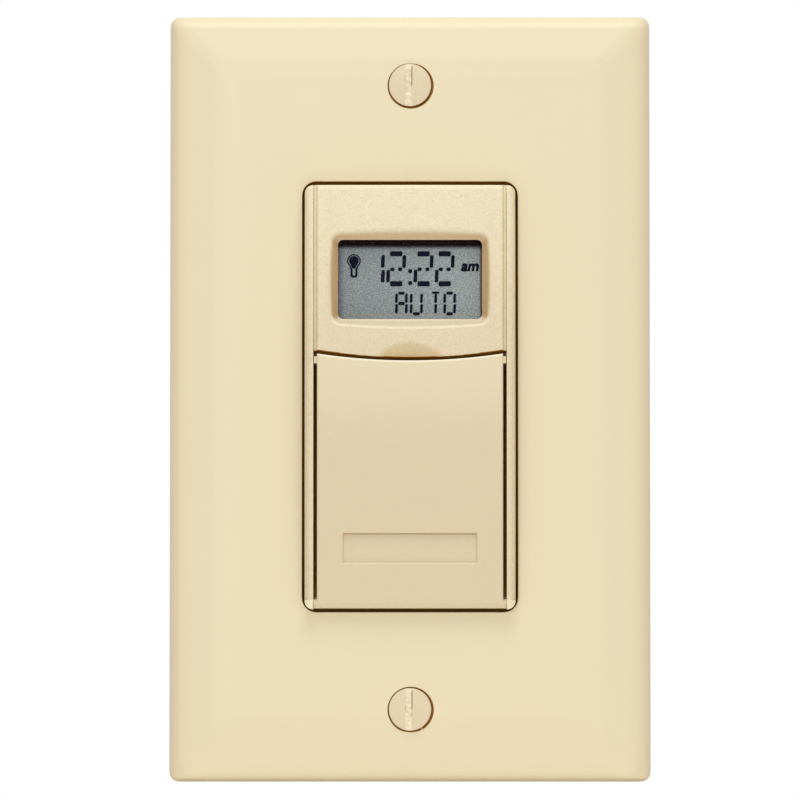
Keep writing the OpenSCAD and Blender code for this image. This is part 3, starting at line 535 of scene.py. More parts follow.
# %% Finishes of the works
METALS = {
    "zinc_steel": ((0.62, 0.63, 0.64), 0.34, 0.06, 900, 6),
    "soft_iron": ((0.50, 0.49, 0.47), 0.38, 0.06, 900, 6),
    "brass": ((0.72, 0.53, 0.22), 0.32, 0.06, 900, 5),
    "copper": ((0.72, 0.34, 0.17), 0.34, 0.06, 1200, 6),
    "reflector_foil": ((0.78, 0.78, 0.78), 0.30, 0.03, 1400, 4),
}
RESINS = {
    "black_plastic": ((0.022, 0.022, 0.024), 0.52, 0.10, 2600, 14, 0.5),
    "white_nylon": ((0.80, 0.80, 0.75), 0.48, 0.03, 2600, 6),
    "elastomer": ((0.62, 0.27, 0.30), 0.70, 0.08, 2200, 10),
    "fibre_sheet": ((0.10, 0.075, 0.05), 0.75, 0.15, 1400, 16),
    "board_green": ((0.015, 0.12, 0.035), 0.36, 0.10, 1200, 6),
    "relay_blue": ((0.03, 0.06, 0.15), 0.36, 0.05, 2600, 6),
    "varistor_blue": ((0.02, 0.08, 0.30), 0.28, 0.08, 700, 18),
    "capacitor_yellow": ((0.50, 0.32, 0.02), 0.34, 0.05, 1800, 8),
    "capacitor_sleeve": ((0.012, 0.016, 0.04), 0.30, 0.05, 1500, 6),
    "resistor_tan": ((0.36, 0.22, 0.10), 0.50, 0.08, 1500, 10),
    "bush_rubber": ((0.014, 0.014, 0.014), 0.68, 0.10, 1800, 16),
}
for slot, values in METALS.items():
    dress(slot, *values, metal=1.0, surface=lines)
for slot, values in RESINS.items():
    dress(slot, *values)
print("finishes:", len(finishes))

# %% [markdown]
# ## The display's finishes
#
# The display is grey glass: a little lighter to the right, finely speckled, and dark along its top
# edge where the bezel shades it. The dark edge could be a strip of its own, but a ramp on the height
# in Object coordinates gives its soft lower edge. The window is nearly clear, so it is a thin
# see-through plastic. Real refraction would keep the soft boxes' light from the display.

# %% Display finishes
WINDOW_Z = 18.203
WINDOW_W, WINDOW_H = 22.3, 12.1
WINDOW_ALPHA = 0.006

dress("lcd_glass", (0.305, 0.345, 0.345), 0.5, 0.02, 5200, 1, speckle=1.15, specular=0.03)
x, _, z = object_mm("lcd_glass")
half_w = WINDOW_W / 2
top, sill = WINDOW_Z + WINDOW_H / 2, WINDOW_Z - WINDOW_H / 2
paint({
    "towards the left": ((0.83, 0.83, 0.84), ramp(x, half_w, -half_w)),
    # painted shade at both ends of the display, beside the funnel's walls
    "left end": ((0.72, 0.70, 0.78), ramp(x, 1.2 - half_w, 0.1 - half_w)),
    "right end": ((0.25, 0.22, 0.21), ramp(x, half_w - 0.45, half_w - 0.1)),
    "shade of the bezel": ((0.028, 0.006, 0.004), ramp(z, top - 1.6, top - 0.75)),
    # painted light along the sill, where the funnel shades the display
    "along the sill": ((1.2, 1.2, 1.16), ramp(z, sill + 1.3, sill + 0.1)),
})

clear_plastic = dress("clear_window", (0.30, 0.32, 0.32), 0.10, 0.01, 1200, 0.5)
clear_plastic.inputs["Alpha"].default_value = WINDOW_ALPHA
dress("lcd_ink", (0.003, 0.0035, 0.014), 0.5, 0.05, 4000, 1, specular=0.04)
dress("key_ink", (0.03, 0.028, 0.026), 0.5, 0.05, 4000, 3)
print("finishes:", len(finishes))

# %% [markdown]
# ## Working in millimetres
#
# Each piece is built as a bmesh in millimetres and scaled down once, at the end, so that the numbers
# stay readable. These few helpers are the bench tools of the lesson: a box between two depths, an
# edge softener, a lathe, and an exact Boolean to cut one solid out of another.

# %% Solids
WELD = 0.0005


def block(width, height, front, back, x=0.0, z=0.0):
    """A box between two depths along Y."""
    bm = bmesh.new()
    bmesh.ops.create_cube(bm, size=1.0)
    bmesh.ops.scale(bm, vec=(width, back - front, height), verts=bm.verts)
    bmesh.ops.translate(bm, vec=(x, (front + back) / 2, z), verts=bm.verts)
    return bm


def soften(bm, edges, width, segments):
    """Round the given edges."""
    bmesh.ops.bevel(
        bm, geom=edges, offset=width, offset_type="OFFSET", affect="EDGES",
        segments=segments, profile=0.5, material=-1, clamp_overlap=True,
    )


def rounded_block(width, height, front, back, radius, x=0.0, z=0.0, segments=6):
    """A box whose four corners, seen from the front, are rounded."""
    bm = block(width, height, front, back, x, z)
    upright = [e for e in bm.edges if abs(e.verts[0].co.y - e.verts[1].co.y) > (back - front) / 2]
    soften(bm, upright, radius, segments)
    return bm


def arc(centre, radius, start, end, steps):
    """Points on an arc in a profile; angles in degrees, 0 outwards and 90 backwards."""
    angles = [math.radians(start + (end - start) * step / steps) for step in range(steps + 1)]
    return [(centre[0] + radius * math.cos(a), centre[1] + radius * math.sin(a)) for a in angles]


def turned(profile, x=0.0, z=0.0, steps=48, closed=False):
    """Spin a profile of (radius, depth) points round a line along Y."""
    bm = bmesh.new()
    verts = [bm.verts.new((radius, depth, 0)) for radius, depth in profile]
    pairs = list(zip(verts, verts[1:])) + ([(verts[-1], verts[0])] if closed else [])
    edges = [bm.edges.new(pair) for pair in pairs]
    bmesh.ops.spin(
        bm, geom=verts + edges, cent=(0, 0, 0), axis=(0, 1, 0),
        angle=2 * math.pi, steps=steps, use_merge=True,
    )
    bmesh.ops.remove_doubles(bm, verts=bm.verts, dist=WELD)
    bmesh.ops.recalc_face_normals(bm, faces=bm.faces)
    bmesh.ops.translate(bm, vec=(x, 0, z), verts=bm.verts)
    return bm


def rod(radius, front, back, x=0.0, z=0.0):
    """A plain round bar along Y, for cutting and joining."""
    return turned([(0, front), (radius, front), (radius, back), (0, back)], x, z, steps=32)


def cross_rod(radius, length, y, z, bevel=0.0):
    """A round bar along X, with bevelled ends if asked."""
    half = length / 2
    profile = [(0, -half), (radius - bevel, -half), (radius, bevel - half)]
    profile += [(radius, half - bevel), (radius - bevel, half), (0, half)]
    bm = turned(profile, steps=24)
    bmesh.ops.rotate(bm, cent=(0, 0, 0), matrix=Matrix.Rotation(math.pi / 2, 3, "Z"), verts=bm.verts)
    bmesh.ops.translate(bm, vec=(0, y, z), verts=bm.verts)
    return bm


print("solids: block, turned, rod")

# %% Carving and fitting
CREASE = math.radians(35)


def carve(solid, tool, how="DIFFERENCE"):
    """Cut a tool out of a solid, or join it on, with an exact Boolean."""
    pair = []
    for bm in (solid, tool):
        mesh = bpy.data.meshes.new("carving")
        bm.to_mesh(mesh)
        pair.append(bpy.data.objects.new("carving", mesh))
        scene.collection.objects.link(pair[-1])
    boolean = pair[0].modifiers.new("carve", "BOOLEAN")
    boolean.operation = how
    boolean.solver = "EXACT"
    boolean.object = pair[1]
    graph = bpy.context.evaluated_depsgraph_get()
    result = bpy.data.meshes.new_from_object(pair[0].evaluated_get(graph))
    solid.clear()
    solid.from_mesh(result)
    tool.free()
    for part in pair:
        bpy.data.meshes.remove(part.data)
    bpy.data.meshes.remove(result)
    return solid


def gather(solids):
    """Several solids side by side in one bmesh."""
    whole = bmesh.new()
    for solid in solids:
        mesh = bpy.data.meshes.new("gathering")
        solid.to_mesh(mesh)
        solid.free()
        whole.from_mesh(mesh)
        bpy.data.meshes.remove(mesh)
    return whole


def slice_across(bm, place, normal):
    """Cut new edges where a plane crosses a solid."""
    whole = bm.verts[:] + bm.edges[:] + bm.faces[:]
    bmesh.ops.bisect_plane(bm, geom=whole, plane_co=place, plane_no=normal, dist=WELD)


def fit_piece(bm, name, body, slot, stands_for=(), finish=None):
    """Turn a solid in millimetres into a finished piece that rides on a body."""
    bmesh.ops.remove_doubles(bm, verts=bm.verts, dist=WELD)
    bmesh.ops.holes_fill(bm, edges=bm.edges, sides=6)
    bmesh.ops.recalc_face_normals(bm, faces=bm.faces)
    bmesh.ops.scale(bm, vec=(MM, MM, MM), verts=bm.verts)
    mesh = bpy.data.meshes.new(name)
    bm.to_mesh(mesh)
    bm.free()
    mesh.materials.append(finishes[finish or slot])
    mesh.shade_smooth()
    mesh.set_sharp_from_angle(angle=CREASE)
    piece = bpy.data.objects.new(name, mesh)
    scene.collection.objects.link(piece)
    piece.modifiers.new("even_shading", "WEIGHTED_NORMAL").keep_sharp = True
    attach(piece, body)
    if stands_for:
        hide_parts(*stands_for)
    print(name, len(mesh.polygons), "faces on", body)
    return piece


def paint_gap_shade(piece, in_gap):
    """Give the faces whose middles lie in a gap the gap finish, whose brown is painted shade."""
    piece.data.materials.append(finishes["gap_painted_shade"])
    found = [face for face in piece.data.polygons if in_gap(face.center / MM, face.normal)]
    for face in found:
        face.material_index = 1
    print(piece.name, len(found), "faces in gaps")


print("bench: carve, gather, slice_across, fit_piece")

# %% [markdown]
# ## Rings of edges
#
# The plate, the bezel and the door are all rectangles with openings and soft borders. Cutting and
# bevelling a box leaves slivers where the cuts meet. Here a ring of edges starts at one rim and is
# extruded again and again, each time to the next line of the profile, so every border comes out as
# clean strips. The marks round a unit square keep the corners of all rings in line.

# %% Ring tools
def square_marks(per_side, ease=0.5):
    """Marks round a unit square, closer together near its corners the higher the ease."""
    marks = []
    for step in range(4 * per_side):
        side, along = divmod(step, per_side)
        share = 2 * along / per_side - 1
        share = (1 - ease) * share + ease * math.sin(share * math.pi / 2)
        marks.append(((share, -1), (1, share), (-share, 1), (-1, -share))[side])
    return marks


def on_rounded(mark, width, height, radius):
    """A mark carried to a rounded rectangle, as (x, z)."""
    x, z = mark[0] * width / 2, mark[1] * height / 2
    core_x = max(radius - width / 2, min(width / 2 - radius, x))
    core_z = max(radius - height / 2, min(height / 2 - radius, z))
    out = Vector((x - core_x, z - core_z))
    if out.length > 0:
        out *= radius / out.length
    return core_x + out.x, core_z + out.y


def flat_ring(marks, width, height, radius, depth, z=0.0):
    """A ring of places round a rounded rectangle, at one depth."""
    places = [on_rounded(mark, width, height, radius) for mark in marks]
    return [Vector((x, depth, up + z)) for x, up in places]


def loft(rings, cap_first=False, cap_last=False):
    """Extrude a ring of edges through a list of rings of places, and cap the ends if asked."""
    bm = bmesh.new()
    ring = bmesh.ops.create_circle(bm, segments=len(rings[0]), radius=1)["verts"]
    for vert, place in zip(ring, rings[0]):
        vert.co = place
    ends = [ring]
    for places in rings[1:]:
        edges = [bm.edges.get(pair) for pair in zip(ring, ring[1:] + ring[:1])]
        made = bmesh.ops.extrude_edge_only(bm, edges=edges)["geom"]
        fresh = {item for item in made if isinstance(item, bmesh.types.BMVert)}
        grown = []
        for vert, place in zip(ring, places):
            twin = next(e.other_vert(vert) for e in vert.link_edges if e.other_vert(vert) in fresh)
            twin.co = place
            grown.append(twin)
        ring = grown
    ends.append(ring)
    for end, capped in zip(ends, (cap_first, cap_last)):
        if capped:
            edges = [bm.edges.get(pair) for pair in zip(end, end[1:] + end[:1])]
            bmesh.ops.contextual_create(bm, geom=edges)
    bmesh.ops.remove_doubles(bm, verts=bm.verts, dist=WELD)
    bmesh.ops.recalc_face_normals(bm, faces=bm.faces)
    return bm


print("rings: marks, flat_ring, loft")

# %% [markdown]
# ## The wall plate
#
# The plate is an injection moulding: a low wall against the house wall, a wide rounded rim, a border
# that slopes up to a flat, and the opening for the timer. Its soft slopes are what the light plays
# on, so the profile is drawn as two true arcs with straight runs between, and one ring of edges
# follows it from the back rim over the front, into the opening and round the hollow inside.

# %% Plate shell
PLATE_WALL = 2.0
PLATE_EDGE = 2.4
SLOPE_W = 8.6
RIM_R = 3.0
CREST_R = 12.0
PLATE_CORNER_R, CORNER_GROWTH = 1.5, 0.02
HOLLOW_R = 1.0
OPENING_W, OPENING_H, OPENING_R = 33.4, 66.8, 2.2
OPENING_SOFT = 0.14
BACK_CHAMFER = 0.15

plate_low, plate_high = (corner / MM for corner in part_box("wall_plate"))
plate_w = plate_high.x - plate_low.x
plate_h = plate_high.z - plate_low.z
plate_d = -plate_low.y
slope = math.degrees(math.atan2(plate_d - PLATE_EDGE, SLOPE_W))
rim_run = RIM_R * math.tan(math.radians(90 - slope) / 2)
crest_run = CREST_R * math.tan(math.radians(slope) / 2)

border = [(BACK_CHAMFER, 0.0), (0.0, -BACK_CHAMFER)]
border += arc((RIM_R, rim_run - PLATE_EDGE), RIM_R, 180, 270 - slope, 8)
border += arc((SLOPE_W + crest_run, CREST_R - plate_d), CREST_R, 270 - slope, 270, 6)
hollow = [(SLOPE_W, PLATE_WALL - plate_d), (0.5, -1.6), (0.0, -1.1), (0.0, 0.0)]

plate_marks = square_marks(48, 0.9)


def plate_ring(inset, depth, radius):
    """A ring round the plate, set in from its outline."""
    return flat_ring(plate_marks, plate_w - 2 * inset, plate_h - 2 * inset, radius, depth)


def opening_ring(out, depth):
    """A ring round the opening, set out from its wall."""
    return flat_ring(plate_marks, OPENING_W + 2 * out, OPENING_H + 2 * out, OPENING_R + out, depth)


rings = [plate_ring(d, y, PLATE_CORNER_R + CORNER_GROWTH * d) for d, y in border]
lip = arc((OPENING_SOFT, OPENING_SOFT - plate_d), OPENING_SOFT, 270, 180, 4)
rings += [opening_ring(out, y) for out, y in lip]
rings.append(opening_ring(0.0, PLATE_WALL - plate_d))
rings += [plate_ring(PLATE_WALL + d, y, HOLLOW_R) for d, y in hollow]
rings.append(rings[0])
plate = loft(rings)
print("plate", round(plate_w, 2), "x", round(plate_h, 2), "mm, slope", round(slope, 1), "degrees")

# %% [markdown]
# ## Holes for the plate screws
#
# Each screw sits in a countersunk hole, at the place where the flat starts to slope away. A lathe
# shape with a small flare at its mouth is cut out of the plate, so the mouth's edge comes out soft
# without bevelling the cut afterwards.

# %% Screw holes
SCREW_Z = 48.42
HOLE_R, SHANK_HOLE_R = 3.56, 1.95
HOLE_OFF_X, HOLE_OFF_Z = 0.10, -0.10
SINK_Y = -5.6
MOUTH_SOFT = 0.18

flare = arc((HOLE_R + MOUTH_SOFT, MOUTH_SOFT - plate_d), MOUTH_SOFT, 270, 180, 4)
profile = [(0, -plate_d - 1), (HOLE_R + MOUTH_SOFT, -plate_d - 1)] + flare
profile += [(HOLE_R, SINK_Y), (SHANK_HOLE_R, PLATE_WALL - plate_d), (SHANK_HOLE_R, 1), (0, 1)]
for side in (-1, 1):
    carve(plate, turned(profile, HOLE_OFF_X, side * SCREW_Z + HOLE_OFF_Z, steps=64))
plate_piece = fit_piece(plate, "plate_moulding", "timer_body", "plate_ivory", ["wall_plate"])


def in_plate_gap(at, normal):
    """In the opening's wall or in a screw hole, on faces that look neither forwards nor backwards."""
    opening = abs(at.x) < OPENING_W / 2 + 0.02 and abs(at.z) < OPENING_H / 2 + 0.02
    hole = math.hypot(at.x, abs(at.z) - SCREW_Z) < HOLE_R + 0.2
    cone = -0.8 < normal.y < -0.5 and at.y > SINK_Y + 0.6
    return (opening or hole) and (abs(normal.y) < 0.5 or cone)


paint_gap_shade(plate_piece, in_plate_gap)

# %% [markdown]
# ## The plate screws
#
# Two oval-head screws, painted with the plate. The head is spun on the lathe with a low dome, and
# the slot is cut across it. Paint has half filled the slot, so the cutter is shallow, and noise makes
# its end lumpy. Only a crack beside the paint is still deep. The thread could be left as a plain rod,
# but the screws' ends show from behind: the rod is spun with many rings, and a helical wave then
# draws each ring in and out.

# %% Threads
THREAD_PITCH = 0.8
THREAD_DEPTH = 0.35
RINGS_PER_TURN = 6


def shank(radius, start, end):
    """A profile for a threaded rod, with several rings to each turn of its thread."""
    count = round((end - start) / THREAD_PITCH * RINGS_PER_TURN)
    return [(radius, start + (end - start) * step / count) for step in range(count + 1)]


def cut_thread(bm, x, z, radius, start, end):
    """Draw the rod's rings in along a helix, fading out at both ends."""
    for vert in bm.verts:
        spoke = Vector((vert.co.x - x, vert.co.z - z))
        if not start <= vert.co.y <= end or abs(spoke.length - radius) > 0.01:
            continue
        turn = math.atan2(spoke.y, spoke.x) / (2 * math.pi)
        wave = abs((vert.co.y / THREAD_PITCH + turn) % 1 * 2 - 1)
        fade = min(1, (vert.co.y - start) / THREAD_PITCH, (end - vert.co.y) / THREAD_PITCH)
        spoke *= 1 - wave * fade * THREAD_DEPTH / radius
        vert.co.x, vert.co.z = x + spoke.x, z + spoke.y


print("thread: pitch", THREAD_PITCH, "mm")

# %% Plate screws
HEAD_R, HEAD_DOME = 3.3, 0.5
SHANK_R, SHANK_START, SHANK_END, TIP_R, TIP_Y = 1.72, -3.9, 3.2, 1.2, 3.6
SLOT_X, SLOT_W, SLOT_DEPTH, SLOT_LUMPS = -0.22, 1.12, 0.3, 0.28
LUMPS_PER_MM = 2.0
CRACK_W, CRACK_X = 0.11, SLOT_X + SLOT_W / 2 - 0.04
CRACK_L, CRACK_Z, CRACK_DEPTH = 2.8, 1.5, 1.2
UNPAINTED_Y = -4.4


def plate_screw(z):
    """One oval-head screw with a painted slot, built at the middle and moved to its height."""
    dome_r = (HEAD_R ** 2 + HEAD_DOME ** 2) / (2 * HEAD_DOME)
    apex = -plate_d - HEAD_DOME
    edge = math.degrees(math.asin((HEAD_R - 0.1) / dome_r))
    profile = arc((0, apex + dome_r), dome_r, 270, 270 + edge, 10)
    profile += [(HEAD_R - 0.03, -plate_d + 0.08), (HEAD_R, -plate_d + 0.2), (HEAD_R, SINK_Y)]
    profile += [(SHANK_R, SHANK_START - 0.2)] + shank(SHANK_R, SHANK_START, SHANK_END)
    profile += [(TIP_R, TIP_Y), (0, TIP_Y)]
    bm = turned(profile, steps=64)
    cut_thread(bm, 0, 0, SHANK_R, SHANK_START, SHANK_END)
    slot = block(SLOT_W, 8, apex - 1, apex + SLOT_DEPTH, x=SLOT_X)
    for axis, cuts in ((2, 59), (0, 9)):
        along = [e for e in slot.edges if abs(e.verts[0].co[axis] - e.verts[1].co[axis]) > 0.5]
        bmesh.ops.subdivide_edges(slot, edges=along, cuts=cuts, use_grid_fill=True)
    for vert in slot.verts:
        if vert.co.y > apex + SLOT_DEPTH - 0.01:
            vert.co.y += SLOT_LUMPS * noise.noise((vert.co + Vector((0, 0, z))) * LUMPS_PER_MM)
    carve(bm, slot)
    carve(bm, block(CRACK_W, CRACK_L, apex - 1, apex + CRACK_DEPTH, x=CRACK_X, z=CRACK_Z))
    bmesh.ops.translate(bm, vec=(0, 0, z), verts=bm.verts)
    return bm


screws = gather(plate_screw(side * SCREW_Z) for side in (-1, 1))
screw_piece = fit_piece(screws, "plate_screw_pair", "timer_body", "screw_paint", ["plate_screws"])


def in_screw_gap(at, normal):
    """On the side of a screw head, or in the crack beside the paint."""
    above = at.z - math.copysign(SCREW_Z, at.z)
    crack = abs(at.x - CRACK_X) < 0.51 * CRACK_W and at.y < 1 - plate_d and 0.05 < above < 2.95
    rim = at.y > 0.2 - plate_d and math.hypot(at.x, abs(at.z) - SCREW_Z) > HEAD_R - 0.1
    return crack or rim


paint_gap_shade(screw_piece, in_screw_gap)
screw_piece.data.materials.append(finishes["zinc_steel"])
for face in screw_piece.data.polygons:
    if face.center.y > UNPAINTED_Y * MM:
        face.material_index = 2

x, _, _ = object_mm("screw_paint")
in_slot = ramp(away(x, SLOT_X), SLOT_W / 2 + 0.05, SLOT_W / 2 - 0.1)
dabs = noise_node(object_coords(finishes["screw_paint"].node_tree), 1900.0, 2.0)
paint({"painted slots": ((1.15, 1.21, 1.30), in_slot, ramp(dabs, 0.35, 0.55, 0.35, 1.0))})

# %% [markdown]
# ## The face frame
#
# The frame fills the plate's opening: two rails at the sides, a low wall at each end, and a deck
# behind the door with holes for the keys. All of it bends gently backwards at top and bottom. The
# block is sliced across so that it can follow that curve, its front rim is rounded while it is still
# whole, and then the channel and the holes are cut. Cutters overlap by a hair, because an exact
# Boolean leaves chips where two faces lie in one plane.

# %% Curved front of the frame
FACE_W, FACE_H, FACE_R = 32.6, 66.0, 1.25
FRAME_BACK = -1.2
RAIL_SOFT, RAIL_RIM_Y = 0.8, -7.5
TOP_GAP = 0.28
SHARP = math.radians(50)


def face_y(z):
    """Depth of the curved front at a height."""
    return FACE_APEX + FACE_CURVE - math.sqrt(FACE_CURVE ** 2 - z ** 2)


blank = FACE_APEX - 0.2
body = rounded_block(
    FACE_W, FACE_H - TOP_GAP, blank, FRAME_BACK - 0.2, FACE_R, z=-TOP_GAP / 2, segments=8
)
for height in range(-30, 31, 3):
    slice_across(body, (0, 0, height), (0, 0, 1))
slice_across(body, (0, 0.1 - plate_d, 0), (0, 1, 0))
for vert in body.verts:
    if vert.co.y < blank + 0.1:
        vert.co.y = face_y(vert.co.z)
rim = [
    e for e in body.edges
    if max(v.co.y for v in e.verts) < RAIL_RIM_Y and e.calc_face_angle(0) > SHARP
]
soften(body, rim, RAIL_SOFT, 5)
bmesh.ops.triangulate(body, faces=body.faces)
print("frame blank:", len(body.faces), "faces, rim of", len(rim), "edges")

# %% Channel, foot pads and slots
CHANNEL_W, POCKET_H = 29.9, 63.0
DECK_FRONT, DECK_BACK = -4.45, -2.85
TOP_WALL_Y, FOOT_WALL_Y = -6.35, -3.25
FOOT_START, FOOT_PROUD = -31.6, 0.5
PAD_W, PAD_H, PAD_BACK = 1.4, 1.4, -6.5
RIB_SLOT, RIB_SLOT_Y = 0.62, -3.2
INNER_SOFT, INNER_RIM_Y = 0.15, -7.6
FAR_FRONT = -12

carve(body, block(CHANNEL_W, POCKET_H, FAR_FRONT, DECK_FRONT))
carve(body, block(CHANNEL_W - 0.02, 6, FAR_FRONT, TOP_WALL_Y, z=FACE_H / 2))
carve(body, block(CHANNEL_W - 0.02, 6, FAR_FRONT, FOOT_WALL_Y, z=-FACE_H / 2))
for side in (-1, 1):
    pad = rounded_block(FACE_W - 0.1, FACE_H - 0.1, blank, PAD_BACK, FACE_R - 0.05, segments=8)
    corner = block(PAD_W, 3, FAR_FRONT, 0, side * (CHANNEL_W / 2 + 0.75), FOOT_START - 1.5)
    carve(pad, corner, "INTERSECT")
    for vert in pad.verts:
        if vert.co.y < blank + 0.1:
            vert.co.y = face_y(vert.co.z) + 0.02 - FOOT_PROUD * (FOOT_START - vert.co.z) / PAD_H
    bmesh.ops.triangulate(pad, faces=pad.faces)
    carve(body, pad, "UNION")
    carve(body, block(RIB_SLOT, 36, FAR_FRONT, RIB_SLOT_Y, side * (CHANNEL_W - RIB_SLOT) / 2, -13))
inner = [
    e for e in body.edges
    if all(abs(abs(v.co.x) - CHANNEL_W / 2) < 0.001 and v.co.y < INNER_RIM_Y for v in e.verts)
    and e.calc_face_angle(0) > SHARP
]
soften(body, inner, INNER_SOFT, 3)
bmesh.ops.remove_doubles(body, verts=body.verts, dist=10 * WELD)
print("channel:", len(inner), "inner edges rounded")

# %% Deck, holes and posts
SHADE_Z = -32.45
HINGE_Y, HINGE_Z, PIN_R, PIN_L = -7.1005, -32.15, 0.5, 31.4
KEY_X, KEY_Z = (-9.0, 0.0, 9.0), -9.999
KEY_HOLE_W, KEY_HOLE_H, KEY_HOLE_R = 7.4, 5.4, 1.0
PLUNGER_Z, PLUNGER_HOLE_R = 1.498, 1.6
RESET_Z, RESET_HOLE_R = -19.998, 1.2
LCD_HOLE_W, LCD_HOLE_H = 26.7, 18.7
FLANGE_W, FLANGE_H, FLANGE_Y = 44, 70, -2.7
POST_X, POST_HEIGHTS, POST_R, POST_BORE_R = 11, (29.6, -27.2), 1.8, 1.05
CASE_SCREW_X, CASE_SCREW_Z = 18.6, 31.6
BOSS_R, BOSS_FRONT, BOSS_BACK = 2.3, -3.8, -2.65
BOSS_BORE_R, BOSS_BORE_Y = 1.3, -3.4
SLOT_SHADE, FOOT_SHADE, FLANGE_SHADE = (-4.4, -3.1), (-5.0, -2.7), (-2.9, -2.5)

carve(body, rounded_block(FLANGE_W, FLANGE_H, FLANGE_Y, FRAME_BACK, 3), "UNION")
carve(body, block(CHANNEL_W, POCKET_H, DECK_BACK, 1))
carve(body, rounded_block(LCD_HOLE_W, LCD_HOLE_H, FAR_FRONT, 0, 0.5, z=WINDOW_Z))
for x in KEY_X:
    carve(body, rounded_block(KEY_HOLE_W, KEY_HOLE_H, FAR_FRONT, 0, KEY_HOLE_R, x=x, z=KEY_Z))
carve(body, rod(PLUNGER_HOLE_R, FAR_FRONT, 0, z=PLUNGER_Z))
carve(body, rod(RESET_HOLE_R, FAR_FRONT, 0, z=RESET_Z))
carve(body, cross_rod(PIN_R + 0.05, PIN_L + 0.1, HINGE_Y, HINGE_Z))
post_top = DECK_BACK - 0.1
post = [(POST_BORE_R, post_top), (POST_R, post_top), (POST_R, 1), (POST_BORE_R, 1)]
for side in (-1, 1):
    for z in POST_HEIGHTS:
        carve(body, turned(post, side * POST_X, z, 32, closed=True), "UNION")
    for end in (-1, 1):
        at = (side * CASE_SCREW_X, end * CASE_SCREW_Z)
        carve(body, rod(BOSS_R, BOSS_FRONT, BOSS_BACK, *at), "UNION")
        carve(body, rod(BOSS_BORE_R, BOSS_BORE_Y, 0, *at))
slice_across(body, (0, 0, SHADE_Z), (0, 0, 1))
frame_piece = fit_piece(body, "frame_moulding", "timer_body", "face_ivory", ["face_frame"])


def in_frame_gap(at, normal):
    """On the outer wall and the flange, inside the plate's opening, or deep in slots and foot."""
    out_x = max(abs(at.x) - FACE_W / 2 + FACE_R, 0)
    out_z = max(abs(at.z) - FACE_H / 2 + FACE_R, 0)
    outside = -plate_d < at.y < -3 and math.hypot(out_x, out_z) > FACE_R - 0.15
    in_slot, at_foot, flange = (
        front < at.y < back for front, back in (SLOT_SHADE, FOOT_SHADE, FLANGE_SHADE)
    )
    in_slot = in_slot and abs(at.x) > CHANNEL_W / 2 - RIB_SLOT - 0.05
    at_foot = at_foot and at.z < SHADE_Z
    flange = flange and normal.y < -0.5
    return outside or in_slot or at_foot or flange


paint_gap_shade(frame_piece, in_frame_gap)

# %% [markdown]
# ## The display bezel
#
# The upper half of the face is a crowned panel with a funnel that leads down to the display. The
# funnel is a little narrower at the window's corners than at the middle of each side, so its mouth
# bows outwards. The panel's lower edge is a shallow arc, with a thumb scoop in the middle for opening
# the door. Cutting these out of a block would leave hard edges; here the rings run from the window
# up the funnel, round its soft mouth, over the panel and down its sides.

# %% Bezel surface
PANEL_W = 28.8
SPLIT_Z = 5.9
CROWN_R = 420.0
SCOOP_R, SCOOP_DEPTH, SCOOP_Z = 15.6, 1.37, 1.61
SCOOP_BLEND = 0.1


def split_edge(x):
    """Height of the bezel's lower edge."""
    return SPLIT_Z + SPLIT_R - math.sqrt(SPLIT_R ** 2 - x ** 2)


def panel_y(x, z):
    """Depth of the crowned front of bezel and door."""
    return face_y(z) + x * x / (2 * CROWN_R)


def bezel_y(x, z):
    """Depth of the bezel's front, with the thumb scoop let in softly."""
    front = panel_y(x, z)
    inside = SCOOP_R ** 2 - x * x - (z - SCOOP_Z) ** 2
    if inside <= 0:
        return front
    scoop = face_y(SPLIT_Z) + SCOOP_DEPTH - SCOOP_R + math.sqrt(inside)
    gap = max(0.0, 1 - abs(front - scoop) / SCOOP_BLEND)
    return max(front, scoop) + gap * gap * SCOOP_BLEND / 4


print("bezel: scoop", round(bezel_y(0, SPLIT_Z) - panel_y(0, SPLIT_Z), 2), "mm deep")

# %% Panel tools
def edge_place(mark, insets, low_edge, high_edge):
    """A mark carried to a panel between two edges, set in at side, top and foot, as (x, z)."""
    side, top, foot = insets
    x = mark[0] * (PANEL_W / 2 - side)
    low = low_edge(x) + foot
    return x, low + (mark[1] + 1) / 2 * (high_edge(x) - top - low)


def spread(start, ends, depth_at, steps):
    """Rings over a panel, from a ring that lies on it to places (x, z) near its edge."""
    made = []
    for step in range(1, steps + 1):
        ring = []
        for place, (x, z) in zip(start, ends):
            x = place.x + (x - place.x) * step / steps
            z = place.z + (z - place.z) * step / steps
            ring.append(Vector((x, depth_at(x, z), z)))
        made.append(ring)
    return made


def edge_radius(mark, radii):
    """Rounding of a panel's edge at a mark, from its radii at side, top and foot."""
    side, top, foot = radii
    return top if mark[1] == 1 else foot if mark[1] == -1 else side


def rounded_edge(marks, start, outline, radii, steps, direction=1):
    """Rings that turn from a panel's edge ring to its outline, backwards or forwards."""
    made = []
    for step in range(1, steps + 1):
        a = math.radians(90 * step / steps)
        insets = [radius * (1 - math.sin(a)) for radius in radii]
        ring = []
        for mark, place in zip(marks, start):
            x, z = outline(mark, insets)
            y = place.y + direction * edge_radius(mark, radii) * (1 - math.cos(a))
            ring.append(Vector((x, y, z)))
        made.append(ring)
    return made


print("panels: spread, rounded_edge")

# %% Bezel rings
MOUTH_CORNER, MOUTH_CORNER_R = 0.95, 1.2
MOUTH_BOW_X, MOUTH_BOW_Z = 0.36, 0.6
MOUTH_SOFT_R, MOUTH_STEPS = 0.4, 6
BEZEL_RADII = (0.22, 0.45, 0.2)
LENS_FRONT, LENS_BACK = -6.79, -5.79
WINDOW_R = 0.8
SILL_DROP = 0.19

bezel_marks = square_marks(80)


def bezel_edge(mark, insets):
    """A mark carried to the bezel's outline, set in at side, top and foot."""
    return edge_place(mark, insets, split_edge, lambda x: FACE_H / 2 - TOP_GAP)


